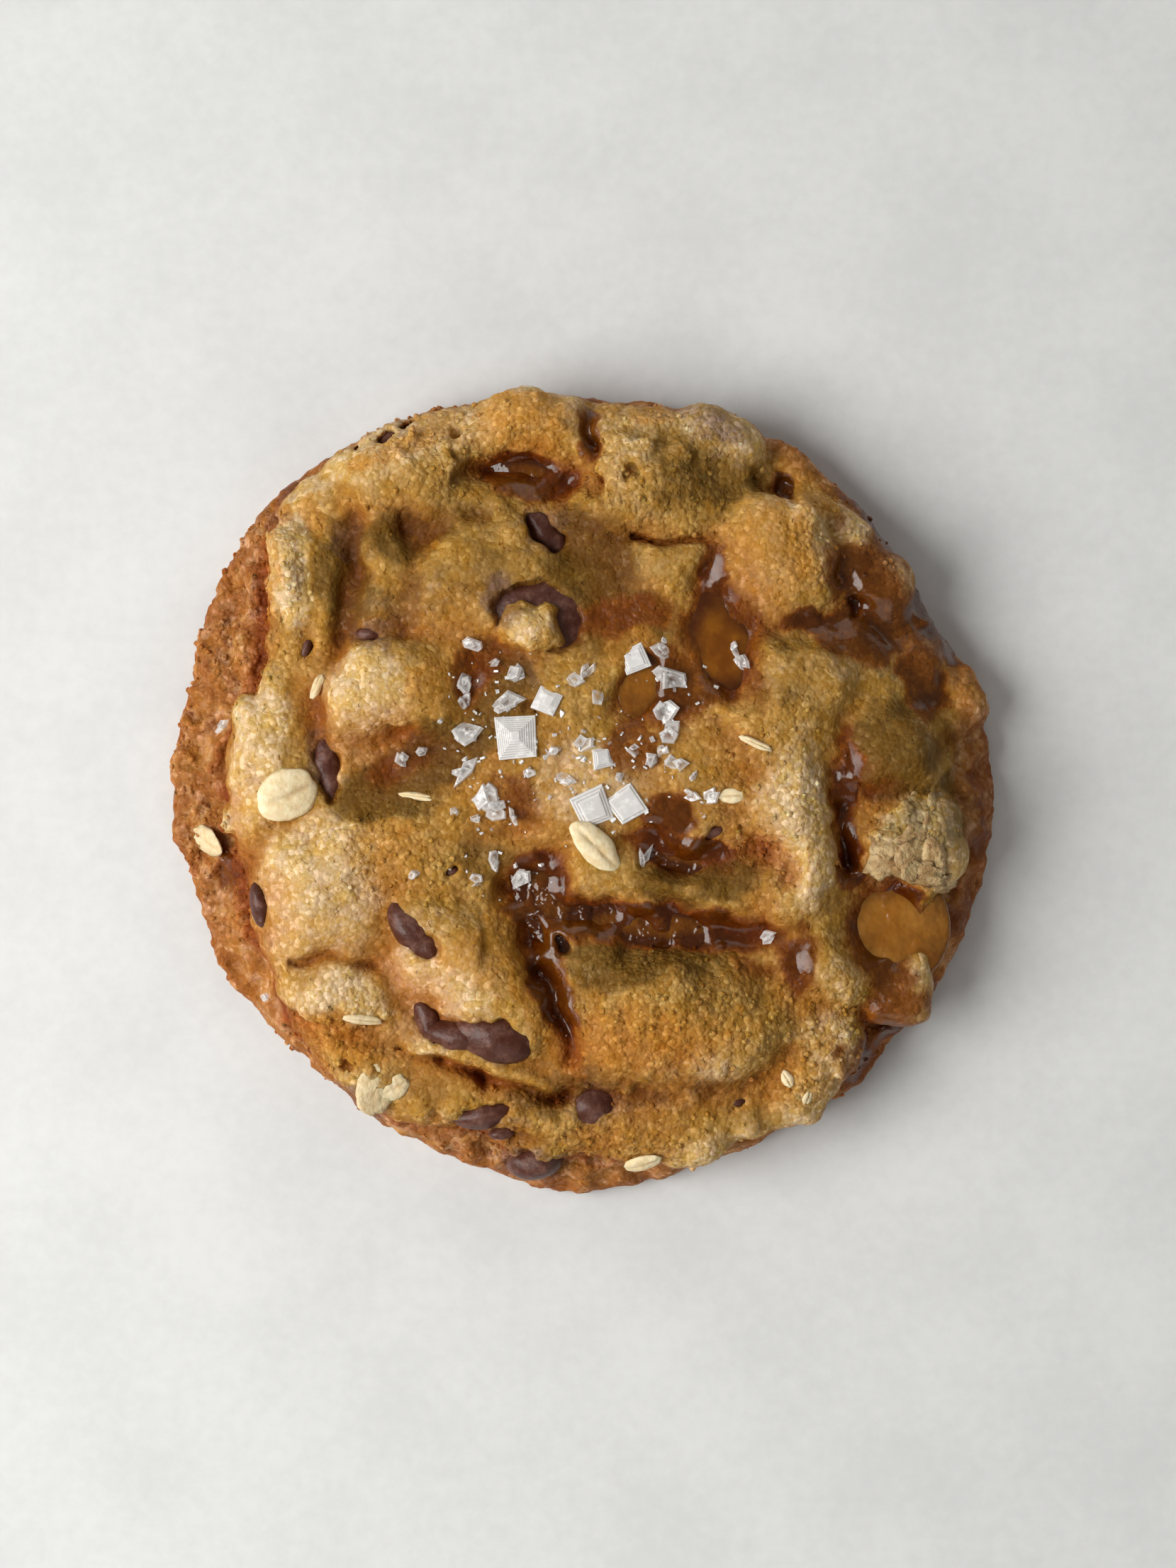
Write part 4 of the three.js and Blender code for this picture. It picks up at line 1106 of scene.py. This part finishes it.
def shape_crumb(dough):
    """Raises crumbs and opens fine cracks on the crust, along its normals."""
    points = triples_of(dough.data.vertices, "co") / MM
    normals = triples_of(dough.data.vertex_normals, "vector")
    nearest, second = crumb_distances(points, CRUMB_SIZE, 21)
    patchy = ease_between(soft_noise(points, 5, 22), -0.3, 0.5)
    calm = tone_at(SOAKED_AND_PAINTED_SHADE, points[:, 0], points[:, 1])
    patchy = np.maximum(0.6 * patchy, tone_at(CRUMBLY, points[:, 0], points[:, 1]))
    rise = (0.3 * (0.5 - nearest) + 0.16 * ease_between(second - nearest, 0, 0.35)) * (0.2 + 0.8 * patchy)
    rise = (rise + 0.1 * soft_noise(points, 0.9, 23)) * (1 - 0.8 * calm)
    rise = rise * ease_between(points[:, 2], 0.2, 1.2)
    moved = (points + normals * rise[:, None]) * MM
    dough.data.vertices.foreach_set("co", moved.astype(np.float32).ravel())
    dough.data.update()


def paint_crust(dough, lattice, heights):
    """Stores how toasted, butter-olive, pale, wet with syrup, smeared with chocolate and sunk in hollows each
    point of the crust is; the finish paints shade in the hollows and sheen on the crests from how far it is
    sunk, and some tone spots paint light or shade.
    """
    points = triples_of(dough.data.vertices, "co") / MM
    x, y, z = points.T
    stray_x = x + 1.5 * soft_noise(points, 5, 31) + 0.8 * soft_noise(points, 1.6, 32)
    stray_y = y + 1.5 * soft_noise(points, 5, 33) + 0.8 * soft_noise(points, 1.6, 34)
    for name, spots in (
        ("toasted", TOASTED), ("buttery_and_painted_shade", BUTTERY_AND_PAINTED_SHADE), ("pale", PALE_AND_PAINTED_LIGHT), ("stained_and_painted_shade", STAINED_AND_PAINTED_SHADE),
        ("crumbly", CRUMBLY), ("salted", SALTED), ("oaty", OATY_SPOTS),
    ):
        note_on_points(dough, name, tone_at(spots, stray_x, stray_y) * ease_between(z, 0.8, 2.5))
    note_on_points(dough, "soaked_and_painted_shade", tone_at(SOAKED_AND_PAINTED_SHADE, stray_x, stray_y) * ease_between(z, 1.5, 5.5))
    outside = np.hypot(x, y) - reach_at(CRUST_REACH, np.arctan2(y, x))
    note_on_points(dough, "ledge", ease_between(outside, -1.2, 0.6) * (1 - ease_between(z, 8.2, 10.5)))
    # hollow and valley: how far each point lies under the surface smoothed over 1.3 and 3.5 mm above the
    # ledge, plus a share low down at the foot; the finish turns them into painted shade in hollows and
    # valleys and painted sheen on crests, and the foot's share darkens and reddens the lowest few millimetres
    foot = 0.9 * (1 - ease_between(z, 0.5, 5.5))
    for name, width in (("hollow", 1.3), ("valley", 3.5)):
        around = lattice.at(lattice.smoothed(heights, width), x, y)
        note_on_points(dough, name, (around - z) * ease_between(z, 6.5, 9) + foot)


def make_chips(bed, finish):
    heap = Heap()
    for number, (at_x, at_y, half_x, half_y, turn, proud) in enumerate(ALL_CHIPS):
        depth = min(CHIP_DEPTH, 1.6 * half_y)
        points, faces = ball(16, 32)
        points = points * (half_x * CHIP_COVER, half_y * CHIP_COVER, depth)
        points *= 1 + 0.08 * soft_noise(points + 40 * number, 2.6, 61)[:, None]
        points[:, 2] += 0.3 * soft_noise(points + 40 * number, 2.2, 62)
        along, across = turned(points[:, 0], points[:, 1], -turn)
        middle = bed.height(at_x, at_y) + proud - depth
        heap.add(np.stack([along + at_x, across + at_y, points[:, 2] + middle], axis=1), faces)
    return heap.piece("chocolate_chips", finish)


def make_pools(levels, finish):
    """Pools with a flat skin that reaches into the dough round them."""
    heap = Heap()
    for number, (pool, level) in enumerate(zip(POOLS.values(), levels)):
        at_x, at_y, half_x, half_y, turn, ripple, pale = pool
        points, faces = ball(28, 56)
        edge = np.hypot(points[:, 0], points[:, 1]) * POOL_SPREAD
        flat = POOL_HALF_DEPTH * np.sign(points[:, 2]) * np.abs(points[:, 2]) ** POOL_FLATNESS
        wide, long = points[:, 0] * half_x * POOL_SPREAD, points[:, 1] * half_y * POOL_SPREAD
        points = np.stack([wide, long, flat], axis=1)
        points[:, 2] += 0.7 * ripple * soft_noise(points + 30 * number, 2.4, 63)
        along, across = turned(points[:, 0], points[:, 1], -turn)
        placed = np.stack([along + at_x, across + at_y, points[:, 2] + level - POOL_SUNK], axis=1)
        heap.add(placed, faces, ripple=ripple, pale=pale, edge=ease_between(edge, 0.35, 1.0))
    return heap.piece("toffee_pools", finish)


def make_oats(bed, finish):
    heap = Heap()
    for number, (at_x, at_y, half_x, half_y, turn, lean, tip, sunk) in enumerate(OATS + GLAZED_OATS):
        glaze = 0.7 * max(sunk, 0) if number < len(OATS) else OAT_GLAZE
        points, faces = ball(12, 32)
        edge = np.hypot(points[:, 0], points[:, 1])
        uneven = 1 + (0.1 + 0.3 * glaze) * soft_noise(points * 2 + 9 * number, 1.0, 41)
        flake = points * (half_x, half_y, OAT_THICKNESS / 2 - min(sunk, 0)) * uneven[:, None]
        crease = np.exp(-((points[:, 1] / 0.12) ** 2)) * (points[:, 2] > 0) * (1 - edge ** 4) * (1 - glaze)
        flake[:, 2] += 0.15 * soft_noise(flake + 17 * number, 3.2, 42) - 0.2 * crease
        flake += 0.35 * glaze * soft_noise(flake + 23 * number, 1.1, 43)[:, None]
        placed = bed.lay(flake, at_x, at_y, turn, lean, tip, OAT_LIFT - sunk)
        heap.add(placed, faces, crease=crease * ease_between(points[:, 0], -0.9, 0.4), glaze=glaze)
    return heap.piece("rolled_oats", finish)


def pyramid(side, steps, top_share, draw):
    """A stepped square pyramid of salt, cut off flat."""
    square = np.array([(-1, -1), (1, -1), (1, 1), (-1, 1)]) + draw.uniform(-0.12, 0.12, (4, 2))
    rings = [(0.5 * side, -0.5)]
    fall = 0.5 * side * (1 - top_share) / steps
    for step in range(steps):
        for share, climb in ((step, 0.0), (step + 0.35, 0.8), (step + 1.0, 1.0)):
            rings.append((0.5 * side - fall * share, 0.38 * fall * (step + climb)))
    points = np.array([(*(corner * width), level) for width, level in rings for corner in square])
    faces = [(3, 2, 1, 0)]
    for ring in range(len(rings) - 1):
        for corner in range(4):
            after = (corner + 1) % 4
            low, high = 4 * ring, 4 * (ring + 1)
            faces.append((low + corner, low + after, high + after, high + corner))
    top = 4 * (len(rings) - 1)
    faces.append((top, top + 1, top + 2, top + 3))
    clear = np.repeat([0.1] + [0.1, 0.05, 0.5] * (steps - 1) + [0.1, 0.05, 0.15], 4)
    return points, faces, clear


def shard(length, width, draw):
    """A thin broken plate of salt."""
    corners = int(draw.integers(4, 7))
    angles = (np.arange(corners) + draw.uniform(-0.3, 0.3, corners)) * 2 * math.pi / corners
    reach = draw.uniform(0.65, 1.35, corners)
    outline = np.stack([0.5 * length * reach * np.cos(angles), 0.5 * width * reach * np.sin(angles)], axis=1)
    half = 0.5 * SHARD_THICKNESS
    lower, upper = np.c_[outline, np.full(corners, -half)], np.c_[0.9 * outline, np.full(corners, half)]
    points = np.concatenate([lower, upper, [(0, 0, -half), (0, 0, half + 0.1)]])
    faces = []
    for corner in range(corners):
        after = (corner + 1) % corners
        faces.append((corner, after, corners + after, corners + corner))
        faces.append((after, corner, 2 * corners))
        faces.append((corners + corner, corners + after, 2 * corners + 1))
    clear = np.r_[np.full(2 * corners, 0.5), 1.0, 1.0]
    return points, faces, clear


def make_salt(bed, finish):
    draw = np.random.default_rng(51)
    heap = Heap()
    for at_x, at_y, side, turn, steps, top_share in SALT_PYRAMIDS:
        points, faces, clear = pyramid(side, steps, top_share, draw)
        lean, tip = draw.uniform(-PYRAMID_LEAN, PYRAMID_LEAN, 2)
        heap.add(bed.lay(points, at_x, at_y, turn, lean, tip, PYRAMID_LIFT), faces, clear=clear)
    for at_x, at_y, length, width, turn in SALT_SHARDS:
        for layer in range(2):
            points, faces, clear = shard(length * (1.2 - 0.3 * layer), width * (1.2 - 0.25 * layer), draw)
            lean, tip = draw.uniform(-SHARD_LEAN, SHARD_LEAN, 2)
            stray_x, stray_y = draw.uniform(-0.3, 0.3, 2) * layer * length
            spin = turn + draw.uniform(-SHARD_TURN, SHARD_TURN)
            lift = SHARD_LIFT + LAYER_RISE * layer
            placed = bed.lay(points, at_x + stray_x, at_y + stray_y, spin, lean, tip, lift)
            heap.add(placed, faces, clear=clear)
    return heap.piece("salt_flakes", finish, smooth=False)


# Crumbs, strewn by Geometry Nodes


def strewing_tree(name, note, corners):
    """A node tree that strews uneven bits over a surface, more of them where a note on it is high."""
    tree = bpy.data.node_groups.new(name, "GeometryNodeTree")
    sockets = {
        "Surface": "Geometry", "Bits": "Float", "Smallest": "Float", "Largest": "Float", "Seed": "Int",
        "Finish": "Material",
    }
    for label, kind in sockets.items():
        tree.interface.new_socket(label, in_out="INPUT", socket_type="NodeSocket" + kind)
    tree.interface.new_socket("Strewn", in_out="OUTPUT", socket_type="NodeSocketGeometry")
    given = tree.nodes.new("NodeGroupInput")
    wire = Wire(tree)
    surface, bits, smallest, largest, seed, finish = (Wire(tree, given.outputs[label]) for label in sockets)
    thick = wire.node("GeometryNodeInputNamedAttribute", {"data_type": "FLOAT"}, {"Name": note})
    spots = wire.node(
        "GeometryNodeDistributePointsOnFaces", {}, {"Mesh": surface, "Density": bits * thick, "Seed": seed}
    )
    spots = wire.node(
        "GeometryNodeStoreNamedAttribute", {"data_type": "FLOAT"},
        {"Geometry": spots, "Name": "own", "Value": wire.chance(-1.0, 1.0, seed + 1)},
    )
    spin = wire.node(
        "FunctionNodeRandomValue", {"data_type": "FLOAT_VECTOR"},
        {0: (0, 0, 0), 1: (2 * math.pi,) * 3, "Seed": seed + 2},
    )
    spin = wire.node("FunctionNodeEulerToRotation", {}, {0: spin})
    size = wire.chance(smallest, largest, seed + 3)
    if corners:
        bit = wire.node("GeometryNodeMeshCube", {}, {"Size": (1.0, 0.8, 0.45)})
    else:
        bit = wire.node("GeometryNodeMeshIcoSphere", {}, {"Radius": 0.5, "Subdivisions": 1})
    placing = {"Points": spots, "Instance": bit, "Rotation": spin, "Scale": size}
    placed = wire.node("GeometryNodeInstanceOnPoints", {}, placing)
    real = wire.node("GeometryNodeRealizeInstances", {}, {"Geometry": placed})
    shift = wire.drift(smallest * 0.9, Scale=1 / (0.5 * MM), Detail=0.0)
    uneven = wire.node("GeometryNodeSetPosition", {}, {"Geometry": real, "Offset": shift})
    dressed = wire.node("GeometryNodeSetMaterial", {}, {"Geometry": uneven, "Material": finish})
    leaving = tree.nodes.new("NodeGroupOutput")
    tree.links.new(dressed.socket, leaving.inputs[0])
    return tree


def strew(name, host, finish, note, corners, bits, smallest, largest, seed):
    """A new piece: the bits that a node tree strews over a host piece, as a plain mesh."""
    tree = strewing_tree(name, note, corners)
    piece = bpy.data.objects.new(name, host.data)
    bpy.context.scene.collection.objects.link(piece)
    modifier = piece.modifiers.new(name, "NODES")
    modifier.node_group = tree
    values = {"Bits": bits, "Smallest": smallest * MM, "Largest": largest * MM, "Seed": seed}
    values["Finish"] = finish
    for item in tree.interface.items_tree:
        if item.name in values:
            modifier[item.identifier] = values[item.name]
    depsgraph = bpy.context.evaluated_depsgraph_get()
    mesh = bpy.data.meshes.new_from_object(
        piece.evaluated_get(depsgraph), preserve_all_data_layers=True, depsgraph=depsgraph
    )
    piece.modifiers.clear()
    piece.data = mesh
    mesh.name = name
    return piece


# Stage


def make_floor(finish):
    corners = [(x * FLOOR_HALF, y * FLOOR_HALF, 0) for x, y in ((-1, -1), (1, -1), (1, 1), (-1, 1))]
    mesh_piece("floor", corners, [(0, 1, 2, 3)], finish)


def soft_light(name, at, size, power, colour):
    """A round lamp that faces the origin."""
    lamp = bpy.data.lights.new(name, "AREA")
    lamp.shape = "DISK"
    lamp.size, lamp.energy, lamp.color = size, power, colour
    light = bpy.data.objects.new(name, lamp)
    light.location = at
    light.rotation_euler = (-Vector(at)).to_track_quat("-Z", "Y").to_euler()
    bpy.context.scene.collection.objects.link(light)


def make_stage():
    make_floor(stone_finish())
    soft_light("window", (-0.47, -0.06, 0.46), 0.56, 5.65, (1.0, 0.985, 0.96))
    for name, at_y in (("back_fill", 0.8), ("front_fill", -0.8)):
        soft_light(name, (0.1, at_y, 0.5), 0.7, 1.2, (1.0, 0.96, 0.91))
    world = bpy.data.worlds.new("room")
    world.use_nodes = True
    sky = world.node_tree.nodes["Background"].inputs
    sky["Color"].default_value = (1.0, 0.97, 0.93, 1)
    sky["Strength"].default_value = 0.15
    bpy.context.scene.world = world
    bpy.context.scene.view_settings.view_transform = "Standard"


def make_camera():
    """A camera straight above, framed as the photograph is."""
    lens = bpy.data.cameras.new("camera")
    lens.sensor_fit = "HORIZONTAL"
    lens.sensor_width = SENSOR_WIDTH
    lens.lens = SENSOR_WIDTH * (CAMERA_HEIGHT - SCALE_PLANE) / (PHOTO_WIDTH / PIXELS_PER_MM)
    lens.clip_start = 0.01
    camera = bpy.data.objects.new("camera", lens)
    camera.location = (CAMERA_X * MM, CAMERA_Y * MM, CAMERA_HEIGHT * MM)
    bpy.context.scene.collection.objects.link(camera)
    bpy.context.scene.camera = camera


def main():
    make_camera()
    make_stage()
    crust, clear_salt = crust_finish(), salt_finish()
    dough, bed, levels = make_dough(crust)
    chips = make_chips(bed, chocolate_finish())
    pools = make_pools(levels, toffee_finish())
    oats = make_oats(bed, oat_finish())
    salt = make_salt(bed, clear_salt)
    crumbs = strew("crust_crumbs", dough, crust, **CRUMBS)
    grit = strew("salt_grit", dough, clear_salt, **GRIT)
    slots = {
        dough: "dough", crumbs: "dough", chips: "chocolate", pools: "toffee", oats: "oat",
        salt: "salt", grit: "salt",
    }
    for piece, slot in slots.items():
        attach(piece, "root")
    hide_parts("dough")
    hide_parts(*CHIPS)
    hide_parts(*POOLS)


main()
